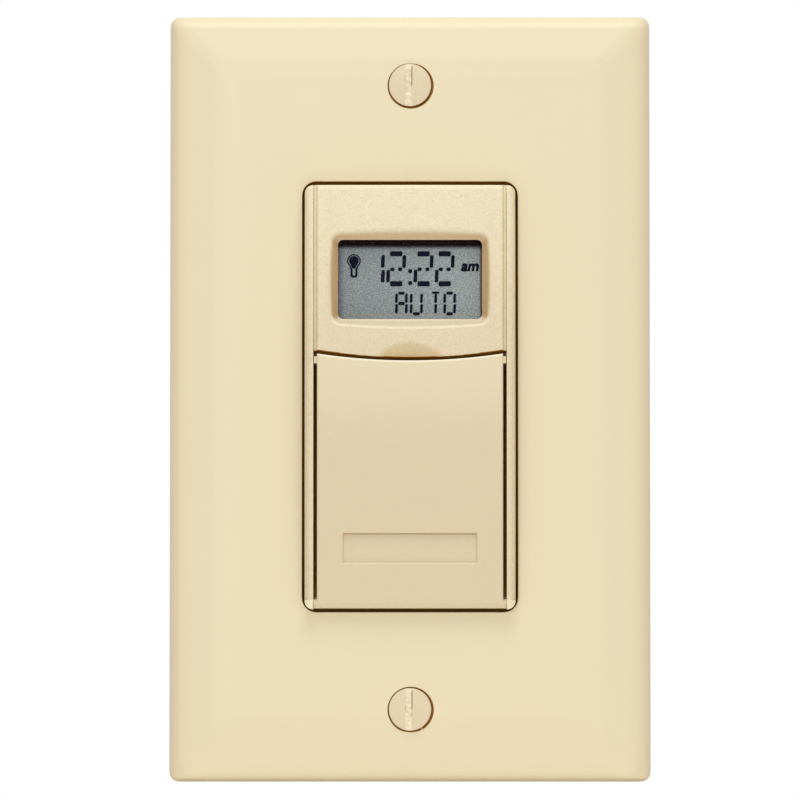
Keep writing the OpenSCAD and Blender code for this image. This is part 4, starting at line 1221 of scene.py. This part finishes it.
def window_ring(grow, depth, radius):
    """A ring round the window, at one depth."""
    return flat_ring(bezel_marks, WINDOW_W + 2 * grow, WINDOW_H + 2 * grow, radius, depth, WINDOW_Z)


mouth = []
for mark, place in zip(bezel_marks, window_ring(MOUTH_CORNER, LENS_FRONT, MOUTH_CORNER_R)):
    x = place.x + mark[0] * MOUTH_BOW_X * (1 - mark[1] ** 2)
    z = place.z + mark[1] * MOUTH_BOW_Z * (1 - mark[0] ** 2)
    mouth.append(Vector((x, bezel_y(x, z), z)))

window = window_ring(0.0, LENS_FRONT, WINDOW_R)
for place in window:
    place.z -= SILL_DROP * max(0.0, (WINDOW_Z - place.z) / (WINDOW_H / 2))
edge_in = [bezel_edge(mark, BEZEL_RADII) for mark in bezel_marks]
shoulder = []
for place, (x, z) in zip(mouth, edge_in):
    out = Vector((x - place.x, 0, z - place.z)).normalized() * MOUTH_SOFT_R
    x, z = place.x + out.x, place.z + out.z
    shoulder.append(Vector((x, bezel_y(x, z), z)))

rings = [window, [w.lerp(m, 0.05) for w, m in zip(window, mouth)]]
throat = [m.lerp(w, 0.2) for w, m in zip(window, mouth)]
for step in range(MOUTH_STEPS + 1):
    t = step / MOUTH_STEPS
    rings.append([a.lerp(b, t).lerp(b.lerp(c, t), t) for a, b, c in zip(throat, mouth, shoulder)])
rings += spread(shoulder, edge_in, bezel_y, 24)
front_edge = rings[-1]
rings += rounded_edge(bezel_marks, front_edge, bezel_edge, BEZEL_RADII, 4)
print("bezel:", len(rings), "rings of", len(bezel_marks))

# %% [markdown]
# ## Behind the bezel's edge
#
# Beside the bezel lies a narrow ledge, a little lower than the panel, between two fine lines. The
# rings go down the panel's side to that ledge, out along it to the rail, back to the deck, and then
# into the pockets for the display and its window, where the last ring meets the first one. Above the
# door a narrow skirt closes the split, so that one doesn't look through it at the keys.

# %% Bezel ledge and pockets
LEDGE_DROP, TOP_DROP = 0.32, 1.5
LEDGE_X = 14.93
SKIRT_TOP = 32.66
SPLIT_SKIRT, SPLIT_TOP = 0.25, 8.0
BEZEL_BACK = DECK_FRONT - 0.05
DISPLAY_GROW, LENS_GROW = 3.3, 1.1

drop = [TOP_DROP if abs(m[1]) == 1 and abs(m[0]) < 1 else LEDGE_DROP for m in bezel_marks]
wall = [Vector((p.x, start.y + d, p.z)) for p, start, d in zip(rings[-1], front_edge, drop)]
ledge = [Vector((p.x * LEDGE_X * 2 / PANEL_W, p.y, min(p.z, SKIRT_TOP))) for p in wall]
for place, mark in zip(ledge, bezel_marks):
    if mark[1] == -1 and abs(mark[0]) < 1:
        place.z -= SPLIT_SKIRT
rings += [wall, ledge, [Vector((p.x, BEZEL_BACK, p.z)) for p in ledge]]
for grow, depths, radius in (
    (DISPLAY_GROW, (BEZEL_BACK, LENS_BACK), 0.5), (LENS_GROW, (LENS_BACK, LENS_FRONT), 0.3)
):
    rings += [window_ring(grow, depth, radius) for depth in depths]
rings.append(window)
bezel_piece = fit_piece(loft(rings), "bezel_moulding", "timer_body", "face_ivory", ["display_bezel"])


def in_split(at, normal):
    """On the bezel's underside and its skirt, in the split above the door."""
    underside = normal.z < -0.5 and at.y > face_y(at.z) + BEZEL_RADII[2] - 0.03
    skirt = normal.y < -0.5 and at.y > face_y(at.z) + TOP_DROP - 0.3
    return at.z < SPLIT_TOP and (underside or skirt)


paint_gap_shade(bezel_piece, in_split)

# %% [markdown]
# ## The display
#
# Behind the clear window lies the display glass. Both are flat panes, so the CAD solids stay and get
# their finishes. What makes it a display are the dark segments: bars with rounded ends, a lamp sign,
# a mode word made of split bars and a small am. They are thin plates of ink in front of the glass.

# %% Segments
LCD_FRONT = -5.74
INK_FRONT, INK_BACK = LCD_FRONT - 0.03, LCD_FRONT - 0.004
BAR_ROUND, ROUND_SHARE = 0.2, 0.45
SLANT = 0.04
DIGIT_Z, DIGIT_HALF_W = 19.83, 1.25
UPRIGHT_BAR, LEVEL_BAR, MIDDLE_DOT, COLON_DOT = (0.56, 1.95), (1.9, 0.8), (0.66, 0.56), (0.62, 0.62)

ink = []


def bar(x, z, width, height):
    """One segment of the display, leaning a little to the right."""
    radius = min(BAR_ROUND, ROUND_SHARE * min(width, height))
    bm = rounded_block(width, height, INK_FRONT, INK_BACK, radius, x, z, 3)
    for vert in bm.verts:
        vert.co.x += SLANT * (vert.co.z - z)
    ink.append(bm)


def digit_one(x):
    """Two upright bars."""
    for z in (-1.16, 1.16):
        bar(x, DIGIT_Z + z, *UPRIGHT_BAR)


def digit_two(x):
    """Seven-segment two, its middle bar only a pair of dots."""
    for z in (-2.33, 2.33):
        bar(x, DIGIT_Z + z, *LEVEL_BAR)
    for side in (1, -1):
        bar(x + side * DIGIT_HALF_W, DIGIT_Z + side * 1.13, *UPRIGHT_BAR)
    for dot in (-0.6, 0.6):
        bar(x + dot, DIGIT_Z - 0.08, *MIDDLE_DOT)


digit_one(-4.2)
for x in (-2.14, 2.1, 5.38):
    digit_two(x)
for z in (-0.36, -2.22):
    bar(0.03, DIGIT_Z + z, *COLON_DOT)
print("time:", len(ink), "segments")

# %% Mode word and lamp sign
WORD_Z, WORD_HALF = 14.44, 1.6
STROKE, LEVEL_STROKE = 0.42, 0.5
BOXED_LETTERS = ((-1.33, 0.76, (1, 0)), (0.99, 0.8, (-1,)), (6.15, 0.77, (1, -1)))
STEM_X, STEM_BAR = 3.98, (1.2, 0.34)
LAMP_X, LAMP_Z = -8.69, 21.05
INK_DEPTHS = (INK_FRONT, INK_BACK)


def upright(x):
    """An upright stroke of the mode word, split in two."""
    for part in (-1, 1):
        bar(x, WORD_Z + part * WORD_HALF / 2, STROKE, WORD_HALF - 0.16)


for x, half, levels in BOXED_LETTERS:
    upright(x - half)
    upright(x + half)
    for z in levels:
        bar(x, WORD_Z + z * WORD_HALF, 2 * half - STROKE - 0.1, LEVEL_STROKE)
upright(STEM_X)
bar(STEM_X, WORD_Z + WORD_HALF + 0.08, *STEM_BAR)


def on_lamp(line, depth):
    """A line of (x, z) points carried to the lamp sign."""
    return [(LAMP_X + x, depth, LAMP_Z + z) for x, z in line]


def lamp_line(radius, neck, foot):
    """A lamp's outline: a round bulb that narrows to a neck with a rounded foot."""
    line = [(-neck, foot + 0.3), (-neck, -1.3)] + arc((0, 0), radius, 226, -46, 20)
    line += [(neck, -1.3), (neck, foot + 0.3), (neck * 0.8, foot + 0.1), (neck * 0.45, foot)]
    return line + [(-neck * 0.45, foot), (-neck * 0.8, foot + 0.1)]


outside = [on_lamp(lamp_line(1.07, 0.54, -2.62), depth) for depth in INK_DEPTHS]
inside = [on_lamp(lamp_line(0.86, 0.21, -2.28), depth) for depth in INK_DEPTHS]
ink.append(loft([outside[0], inside[0], inside[1], outside[1], outside[0]]))
glow = arc((0, 0.02), 0.75, 215, -35, 18) + [(0.2, -1.2), (-0.2, -1.2)]
ink.append(loft([on_lamp(glow, depth) for depth in INK_DEPTHS], cap_first=True, cap_last=True))
print("time, word and lamp:", len(ink), "shapes of ink")

# %% Small am
AM_X, AM_Z, AM_W = 9.3, 20.1, 2.84
AM_BOLD, AM_SLANT = 0.05, 0.18

letters = bpy.data.curves.new("am", "FONT")
letters.body = "am"
letters.extrude = (INK_BACK - INK_FRONT) / 2
letters.shear = AM_SLANT
letter_object = bpy.data.objects.new("am", letters)
letter_mesh = bpy.data.meshes.new_from_object(letter_object)
am = bmesh.new()
am.from_mesh(letter_mesh)
bmesh.ops.remove_doubles(am, verts=am.verts, dist=WELD)
am.normal_update()
for vert in am.verts:
    out = sum((f.normal for f in vert.link_faces if abs(f.normal.z) < 0.5), Vector())
    vert.co += AM_BOLD * out.normalized()
low = min(v.co.x for v in am.verts)
wide = max(v.co.x for v in am.verts) - low
tall = max(v.co.y for v in am.verts)
bmesh.ops.translate(am, vec=(-low - wide / 2, -tall / 2, 0), verts=am.verts)
bmesh.ops.scale(am, vec=(AM_W / wide, AM_W / wide, 1), verts=am.verts)
bmesh.ops.rotate(am, cent=(0, 0, 0), matrix=Matrix.Rotation(math.pi / 2, 3, "X"), verts=am.verts)
bmesh.ops.translate(am, vec=(AM_X, (INK_FRONT + INK_BACK) / 2, AM_Z), verts=am.verts)
ink.append(am)
bpy.data.objects.remove(letter_object)
bpy.data.curves.remove(letters)
bpy.data.meshes.remove(letter_mesh)
fit_piece(gather(ink), "display_segments", "timer_body", "lcd_glass", finish="lcd_ink")

# %% [markdown]
# ## The door
#
# The door is the lower half of the face. It flips down on a pin at its foot, and pressed as a whole it
# is the on/off paddle. It is a curved panel with rounded edges, a shallow bare plaque near its foot
# and a rolled lower edge round the pin. The rings start on the plaque's floor, climb its wall, spread
# over the panel and close behind it.

# %% Door panel
DOOR_T = 1.7
DOOR_FOOT = -32.8
SPLIT_GAP = 0.48
PLAQUE_W, PLAQUE_H, PLAQUE_R = 20.7, 4.7, 0.35
PLAQUE_Z, PLAQUE_D = -23.65, 0.5
DOOR_RADII = (0.3, 0.22, 0.85)

door_marks = square_marks(56)


def door_edge(mark, insets):
    """A mark carried to the door's outline, set in at side, top and foot."""
    return edge_place(mark, insets, lambda x: DOOR_FOOT, lambda x: split_edge(x) - SPLIT_GAP)


def door_back(x, z):
    """Depth of the door's back."""
    return panel_y(x, z) + DOOR_T


def plaque_ring(grow, sink):
    """A ring round the plaque, sunk below the door's front."""
    size = (PLAQUE_W + 2 * grow, PLAQUE_H + 2 * grow, PLAQUE_R + grow)
    ring = flat_ring(door_marks, *size, 0.0, PLAQUE_Z)
    return [Vector((p.x, panel_y(p.x, p.z) + sink, p.z)) for p in ring]


def towards_middle(ring, share, thickness):
    """A ring drawn in towards the plaque's middle, at a depth below the door's front."""
    places = [(p.x * share, PLAQUE_Z + (p.z - PLAQUE_Z) * share) for p in ring]
    return [Vector((x, panel_y(x, z) + thickness, z)) for x, z in places]


plaque_floor = plaque_ring(-0.15, PLAQUE_D)
rings = [towards_middle(plaque_floor, share, PLAQUE_D) for share in (0.1, 0.6)]
rings += [plaque_floor, plaque_ring(-0.11, PLAQUE_D * 0.85)]
rings += [plaque_ring(0.04, 0.05), plaque_ring(0.1, 0.0)]
edge_in = [door_edge(mark, DOOR_RADII) for mark in door_marks]
rings += spread(rings[-1], edge_in, panel_y, 16)
rings += rounded_edge(door_marks, rings[-1], door_edge, DOOR_RADII, 5)
back_rings = spread(plaque_ring(0.12, 0.0), edge_in, door_back, 5)
rings += rounded_edge(door_marks, back_rings[-1], door_edge, DOOR_RADII, 5, direction=-1)[::-1]
rings += back_rings[::-1]
rings.append(towards_middle(rings[-1], 0.1, DOOR_T))
door = loft(rings, cap_first=True, cap_last=True)
print("door:", len(door.faces), "faces")

# %% [markdown]
# ## Behind the door
#
# The back of the door shows when it is open: two stiffening ribs, the post that presses the override
# plunger, latch nubs at the upper corners, and the barrel that turns on the hinge pin. These are small
# solids joined on with the Boolean, and the pin's bore is cut last.

# %% Door ribs, nubs and barrel
RIB_W, RIB_FRONT, RIB_BACK = 1.2, -7.45, -6.3
RIB_LOW, RIB_HIGH = -30.15, 4.1
BARREL_R, BARREL_L = 0.72, 29.84
NUB_W, NUB_H, NUB_D = 0.45, 1.1, 1.3
PRESS_POST = [(0, -7.6), (1.5, -7.6), (1.5, -6.3), (1.35, -6.1), (0, -6.1)]

nub_y = face_y(SPLIT_Z) + 0.5
nub_z = SPLIT_Z - NUB_H / 2 + 0.2
rib_h, rib_z = RIB_HIGH - RIB_LOW, (RIB_HIGH + RIB_LOW) / 2
for side in (-1, 1):
    rib = block(RIB_W, rib_h, RIB_FRONT, RIB_BACK, side * (PANEL_W - RIB_W) / 2, rib_z)
    soften(rib, [e for e in rib.edges if all(v.co.y > -7 for v in e.verts)], 0.2, 3)
    carve(door, rib, "UNION")
    nub_x = side * (PANEL_W / 2 + NUB_W / 2 - 0.1)
    carve(door, rounded_block(NUB_W + 0.2, NUB_H, nub_y, nub_y + NUB_D, 0.12, nub_x, nub_z, 2), "UNION")
carve(door, cross_rod(BARREL_R, BARREL_L, HINGE_Y, HINGE_Z, bevel=0.02), "UNION")
carve(door, turned(PRESS_POST, z=PLUNGER_Z, steps=32), "UNION")
carve(door, cross_rod(PIN_R + 0.05, BARREL_L + 2, HINGE_Y, HINGE_Z))
fit_piece(door, "door_moulding", "door", "door_ivory", ["door"])
pin = cross_rod(PIN_R, PIN_L, HINGE_Y, HINGE_Z, bevel=0.12)
fit_piece(pin, "hinge_rod", "hinge_pin", "zinc_steel", ["hinge_pin"])

x, y, z = object_mm("door_ivory")
on_plaque = all_of(ramp(away(x), PLAQUE_W / 2 + 0.1, PLAQUE_W / 2), ramp(y, -7.4, -7.6))
line_z = PLAQUE_H / 2 - 0.08
upper, lower = (ramp(away(z, PLAQUE_Z + side * line_z), 0.16, 0.06) for side in (1, -1))
paint({
    # painted shade under the plaque's upper edge
    "under the plaque's upper edge": ((0.66, 0.58, 0.47), upper, on_plaque),
    # painted highlight on the plaque's lower edge
    "on the plaque's lower edge": ((1.10, 1.13, 1.17), lower, on_plaque),
})

# %% [markdown]
# ## Keys behind the door
#
# Three keys, a round reset button and the override plunger stand out of the deck. Each key is a
# softened block on a flange that keeps it in its hole. A plus, a minus and a ring for the mode are
# thin plates of ink on their tops, which ride with their keys.

# %% Keys
KEY_FRONT, FLANGE_FRONT, FLANGE_BACK = -5.75, -2.8, -1.8
KEY_W, KEY_H, KEY_R, KEY_SOFT = 7.0, 5.0, 0.8, 0.35
KEY_FLANGE = 1.2
SIGN_FRONT, SIGN_BACK = KEY_FRONT - 0.03, KEY_FRONT + 0.02
SIGN_L, SIGN_W = 2.2, 0.4
RING_IN, RING_OUT = 0.75, 1.05


def key_cap(x):
    """A key: softened cap and flange."""
    cap = rounded_block(KEY_W, KEY_H, KEY_FRONT, FLANGE_BACK, KEY_R, x, KEY_Z)
    front = [e for e in cap.edges if all(v.co.y < KEY_FRONT + 0.01 for v in e.verts)]
    soften(cap, front, KEY_SOFT, 4)
    flange = block(KEY_W + KEY_FLANGE, KEY_H + KEY_FLANGE, FLANGE_FRONT, FLANGE_BACK, x, KEY_Z)
    return carve(cap, flange, "UNION")


def sign_bar(width, height, x):
    """A bar of ink on a key."""
    return rounded_block(width, height, SIGN_FRONT, SIGN_BACK, 0.1, x, KEY_Z, 2)


mode_x, minus_x, plus_x = KEY_X
ring = [(RING_IN, SIGN_FRONT), (RING_OUT, SIGN_FRONT), (RING_OUT, SIGN_BACK), (RING_IN, SIGN_BACK)]
signs = {
    "mode": turned(ring, mode_x, KEY_Z, closed=True),
    "minus": sign_bar(SIGN_L, SIGN_W, minus_x),
    "plus": carve(sign_bar(SIGN_L, SIGN_W, plus_x), sign_bar(SIGN_W, SIGN_L, plus_x), "UNION"),
}
for x, (name, sign) in zip(KEY_X, signs.items()):
    body_name = name + "_pusher"
    fit_piece(key_cap(x), name + "_cap", body_name, "key_ivory", [name + "_key"])
    fit_piece(sign, name + "_sign", body_name, "key_ivory", finish="key_ink")

# %% Plunger and reset button
PLUNGER_R, PLUNGER_SOFT = 1.5, 0.4
RESET_R, RESET_SOFT = 1.1, 0.15
RESET_DISH = [(0, 0.25), (0.5, 0.18), (0.8, 0.02)]


def button(node, radius, crown, z):
    """A round button: its crown, counted from the CAD node's front, a straight side and a flange."""
    low, high = (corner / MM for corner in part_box(node))
    flange_r = (high.x - low.x) / 2
    profile = [(r, low.y + drop) for r, drop in crown]
    profile += [(radius, FLANGE_FRONT), (flange_r, FLANGE_FRONT), (flange_r, high.y), (0, high.y)]
    return turned(profile, z=z)


crown = [(0, 0)] + arc((PLUNGER_R - PLUNGER_SOFT, PLUNGER_SOFT), PLUNGER_SOFT, 270, 360, 5)
plunger = button("override_plunger", PLUNGER_R, crown, PLUNGER_Z)
fit_piece(plunger, "plunger_turning", "override_pusher", "white_nylon", ["override_plunger"])
crown = RESET_DISH + arc((RESET_R - RESET_SOFT, RESET_SOFT), RESET_SOFT, 270, 360, 4)
reset = button("reset_button", RESET_R, crown, RESET_Z)
fit_piece(reset, "reset_cap", "reset_pusher", "key_ivory", ["reset_button"])

# %% [markdown]
# ## The mounting strap
#
# A stamped steel strap carries the timer in the wall box. Two rounded sheets are joined, the window
# and the screw holes are punched out, and a Bevel modifier breaks the punched edges, as the press
# does on one side of real sheet.

# %% Strap
STRAP_T, STRAP_R = 1.2, 2
STRAP_W, STRAP_H = 33, 105
STRAP_BODY_W, STRAP_BODY_H = 45, 72
STRAP_HOLE_W, STRAP_HOLE_H = 30.9, 63
PUNCH = (-3, 2)
BOX_Z = 41.67
RIVET_X, RIVET_Z = 12.0, 44.0
PLATE_SCREW_HOLE, BOX_SCREW_HOLE, CASE_SCREW_HOLE, RIVET_HOLE = 1.75, 1.95, 1.45, 1.25
BROKEN_EDGE = 0.12

strap = rounded_block(STRAP_W, STRAP_H, -STRAP_T, 0, STRAP_R)
carve(strap, rounded_block(STRAP_BODY_W, STRAP_BODY_H, -STRAP_T, 0, STRAP_R), "UNION")
carve(strap, rounded_block(STRAP_HOLE_W, STRAP_HOLE_H, *PUNCH, STRAP_R))
for side in (-1, 1):
    carve(strap, rod(PLATE_SCREW_HOLE, *PUNCH, z=side * SCREW_Z))
    carve(strap, rod(BOX_SCREW_HOLE, *PUNCH, z=side * BOX_Z))
    for x in (-1, 1):
        carve(strap, rod(CASE_SCREW_HOLE, *PUNCH, x * CASE_SCREW_X, side * CASE_SCREW_Z))
carve(strap, rod(RIVET_HOLE, *PUNCH, RIVET_X, RIVET_Z))
strap_piece = fit_piece(strap, "strap_stamping", "timer_body", "zinc_steel", ["mounting_strap"])
bevel = strap_piece.modifiers.new("broken_edges", "BEVEL")
bevel.width = BROKEN_EDGE * MM
bevel.segments = 2
bevel.limit_method = "ANGLE"
bevel.angle_limit = SHARP

# %% [markdown]
# ## Box screws and ground rivet
#
# Two long machine screws go into the wall box. They are spun with a rounded head, a thin neck where
# the strap holds them and the same helical thread as the plate screws. The brass rivet beside the
# upper screw bonds the ground lead to the strap.

# %% Box screws and rivet
BOX_HEAD_R, BOX_HEAD_H, BOX_HEAD_SOFT = 3.4, 1.5, 0.8
BOX_SLOT_W, BOX_SLOT_D = 1.05, 0.75
BOX_SCREW_R, BOX_NECK_R, BOX_TIP_R = 1.75, 1.4, 1.2
BOX_SCREW_END, BOX_THREAD_END = 25.0, 24.4
RIVET_R, RIVET_SHANK_R, RIVET_FRONT, RIVET_BACK = 2.4, 1.2, -2.0, 0.8
FRONT_SOFT, BACK_SOFT = 0.5, 0.6


def box_screw(z):
    """One long screw with a slotted pan head."""
    top = -STRAP_T - BOX_HEAD_H
    centre = (BOX_HEAD_R - BOX_HEAD_SOFT, top + BOX_HEAD_SOFT)
    profile = [(0, top)] + arc(centre, BOX_HEAD_SOFT, 270, 360, 6)
    profile += [(BOX_HEAD_R, -STRAP_T), (BOX_NECK_R, -STRAP_T), (BOX_NECK_R, 0.0)]
    profile += shank(BOX_SCREW_R, 0.0, BOX_THREAD_END)
    profile += [(BOX_TIP_R, BOX_SCREW_END), (0, BOX_SCREW_END)]
    bm = turned(profile, z=z, steps=32)
    cut_thread(bm, 0, z, BOX_SCREW_R, 0.0, BOX_THREAD_END)
    return carve(bm, block(BOX_SLOT_W, 10, top - 1, top + BOX_SLOT_D, z=z))


box_screws = gather(box_screw(side * BOX_Z) for side in (-1, 1))
fit_piece(box_screws, "box_screw_pair", "timer_body", "zinc_steel", ["box_screws"])

rivet = [(0, RIVET_FRONT)]
rivet += arc((RIVET_R - FRONT_SOFT, RIVET_FRONT + FRONT_SOFT), FRONT_SOFT, 270, 360, 5)
rivet += [(RIVET_R, -STRAP_T), (RIVET_SHANK_R, -STRAP_T), (RIVET_SHANK_R, 0), (RIVET_R, 0)]
rivet += arc((RIVET_R - BACK_SOFT, RIVET_BACK - BACK_SOFT), BACK_SOFT, 0, 90, 5) + [(0, RIVET_BACK)]
fit_piece(turned(rivet, RIVET_X, RIVET_Z), "rivet_turning", "timer_body", "brass", ["ground_rivet"])

# %% [markdown]
# ## The rear case
#
# The case that goes into the wall box is black and closed: a box with rounded corners and a softened
# back, grip grooves down its sides, a shallow bare recess for a label, and four sunk screws. It starts
# as a softened block, is hollowed, and then the grooves and bores are cut.

# %% Case
CASE_W, CASE_H, CASE_D, CASE_R, CASE_WALL = 44.0, 70.0, 30.0, 3.0, 1.6
CASE_SOFT, CASE_INNER_R = 1.0, 2.2
GROOVES, GROOVE_STEP, GROOVE_FROM, GROOVE_TO = 9, 2.4, 4, 5.2
GROOVE_D, GROOVE_L, GROOVE_R, GROOVE_Z = 0.8, 22, 0.3, -2.0
LABEL_W, LABEL_H, LABEL_D, LABEL_R, LABEL_Z = 25, 22, 0.3, 1.5, -8
TUBE_R, TUBE_BORE_R = 2.6, 1.35
SUNK_Y, SUNK_R, SUNK_MOUTH_R = 28.0, 2.3, 2.6
BUSH_X, BUSH_Z, BUSH_R = (-9.0, 0.0, 9.0), 20.0, 2.5

case = rounded_block(CASE_W, CASE_H, 0, CASE_D, CASE_R, segments=8)
back = [e for e in case.edges if all(v.co.y > CASE_D - 0.01 for v in e.verts)]
soften(case, back, CASE_SOFT, 5)
inner_w, inner_h = CASE_W - 2 * CASE_WALL, CASE_H - 2 * CASE_WALL
carve(case, rounded_block(inner_w, inner_h, -1, CASE_D - CASE_WALL, CASE_INNER_R))
for side in (-1, 1):
    for step in range(GROOVES):
        ends = (GROOVE_FROM + GROOVE_STEP * step, GROOVE_TO + GROOVE_STEP * step)
        carve(case, rounded_block(GROOVE_D, GROOVE_L, *ends, GROOVE_R, side * CASE_W / 2, GROOVE_Z, 2))
carve(case, rounded_block(LABEL_W, LABEL_H, CASE_D - LABEL_D, CASE_D + 1, LABEL_R, 0, LABEL_Z))
sink = [(0, SUNK_Y), (SUNK_R, SUNK_Y), (SUNK_R, CASE_D - 0.25), (SUNK_MOUTH_R, CASE_D + 0.05)]
sink += [(SUNK_MOUTH_R, CASE_D + 1), (0, CASE_D + 1)]
case_screw_places = [(x * CASE_SCREW_X, z * CASE_SCREW_Z) for x in (-1, 1) for z in (-1, 1)]
for at in case_screw_places:
    carve(case, rod(TUBE_R, 0.2, CASE_D - 0.8, *at), "UNION")
    carve(case, rod(TUBE_BORE_R, -1, CASE_D + 1, *at))
    carve(case, turned(sink, *at, steps=32))
for x in BUSH_X:
    carve(case, rod(BUSH_R + 0.05, 20, CASE_D + 1, x, BUSH_Z))
fit_piece(case, "case_moulding", "timer_body", "black_plastic", ["rear_case"])

# %% [markdown]
# ## Case screws and lead bushes
#
# Four long screws hold the case, the strap and the face frame together; their slotted heads lie in
# the sunk bores. Three rubber bushes show where the wire leads come out. Both are lathe shapes, the
# bush with a closed profile so that it keeps its bore.

# %% Case screws and bushes
CASE_SCREW_R, CASE_HEAD_R, CASE_TIP_R = 1.25, 2.1, 0.9
SCREW_FRONT, THREAD_FROM, THREAD_TO = -3.2, -2.9, 3.0
HEAD_SEAT, HEAD_END, HEAD_SOFT = SUNK_Y + 0.02, 29.6, 0.5
BUSH_BORE_R, BUSH_FRONT, BUSH_LIP_R, BUSH_LIP_Y = 1.6, 27.75, 3.4, 30.02
BUSH_SOFT, BUSH_SOFT_Y, BUSH_SOFT_OUT, BUSH_SOFT_IN = 0.4, 30.6, 3.1, 2.0


def case_screw(x, z):
    """One long case screw."""
    profile = [(0, SCREW_FRONT), (CASE_TIP_R, SCREW_FRONT)]
    profile += shank(CASE_SCREW_R, THREAD_FROM, THREAD_TO)
    profile += [(CASE_SCREW_R, HEAD_SEAT), (CASE_HEAD_R, HEAD_SEAT)]
    profile += arc((CASE_HEAD_R - HEAD_SOFT, HEAD_END - HEAD_SOFT), HEAD_SOFT, 0, 90, 5)
    profile += [(0, HEAD_END)]
    bm = turned(profile, x, z, steps=32)
    cut_thread(bm, x, z, CASE_SCREW_R, THREAD_FROM, THREAD_TO)
    return carve(bm, block(0.7, 6, HEAD_END - 0.8, HEAD_END + 1, x, z))


case_screws = gather(case_screw(*at) for at in case_screw_places)
fit_piece(case_screws, "case_screw_set", "timer_body", "zinc_steel", ["case_screws"])

bush = [(BUSH_BORE_R, BUSH_FRONT), (BUSH_R - 0.1, BUSH_FRONT), (BUSH_R, SUNK_Y)]
bush += [(BUSH_R, BUSH_LIP_Y), (BUSH_LIP_R, BUSH_LIP_Y)]
bush += arc((BUSH_SOFT_OUT, BUSH_SOFT_Y), BUSH_SOFT, 0, 90, 4)
bush += arc((BUSH_SOFT_IN, BUSH_SOFT_Y), BUSH_SOFT, 90, 180, 4)
bushes = gather(turned(bush, x, BUSH_Z, steps=40, closed=True) for x in BUSH_X)
fit_piece(bushes, "bush_set", "timer_body", "bush_rubber", ["lead_bushes"])

# %% [markdown]
# ## Everything inside
#
# The boards, the relay and the small parts keep their CAD shapes: they are hidden in the closed case.
# Their record says which finish each takes, so one loop dresses them all.

# %% Dress the CAD nodes
slot_of = {part["node"]: part["material_slot"] for part in frame["record"]["subparts"]}
dressed = 0
for name, node in frame["nodes"].items():
    for place in node.material_slots:
        place.material = finishes[slot_of[name]]
        dressed += 1
print("dressed", dressed, "material slots of CAD nodes")
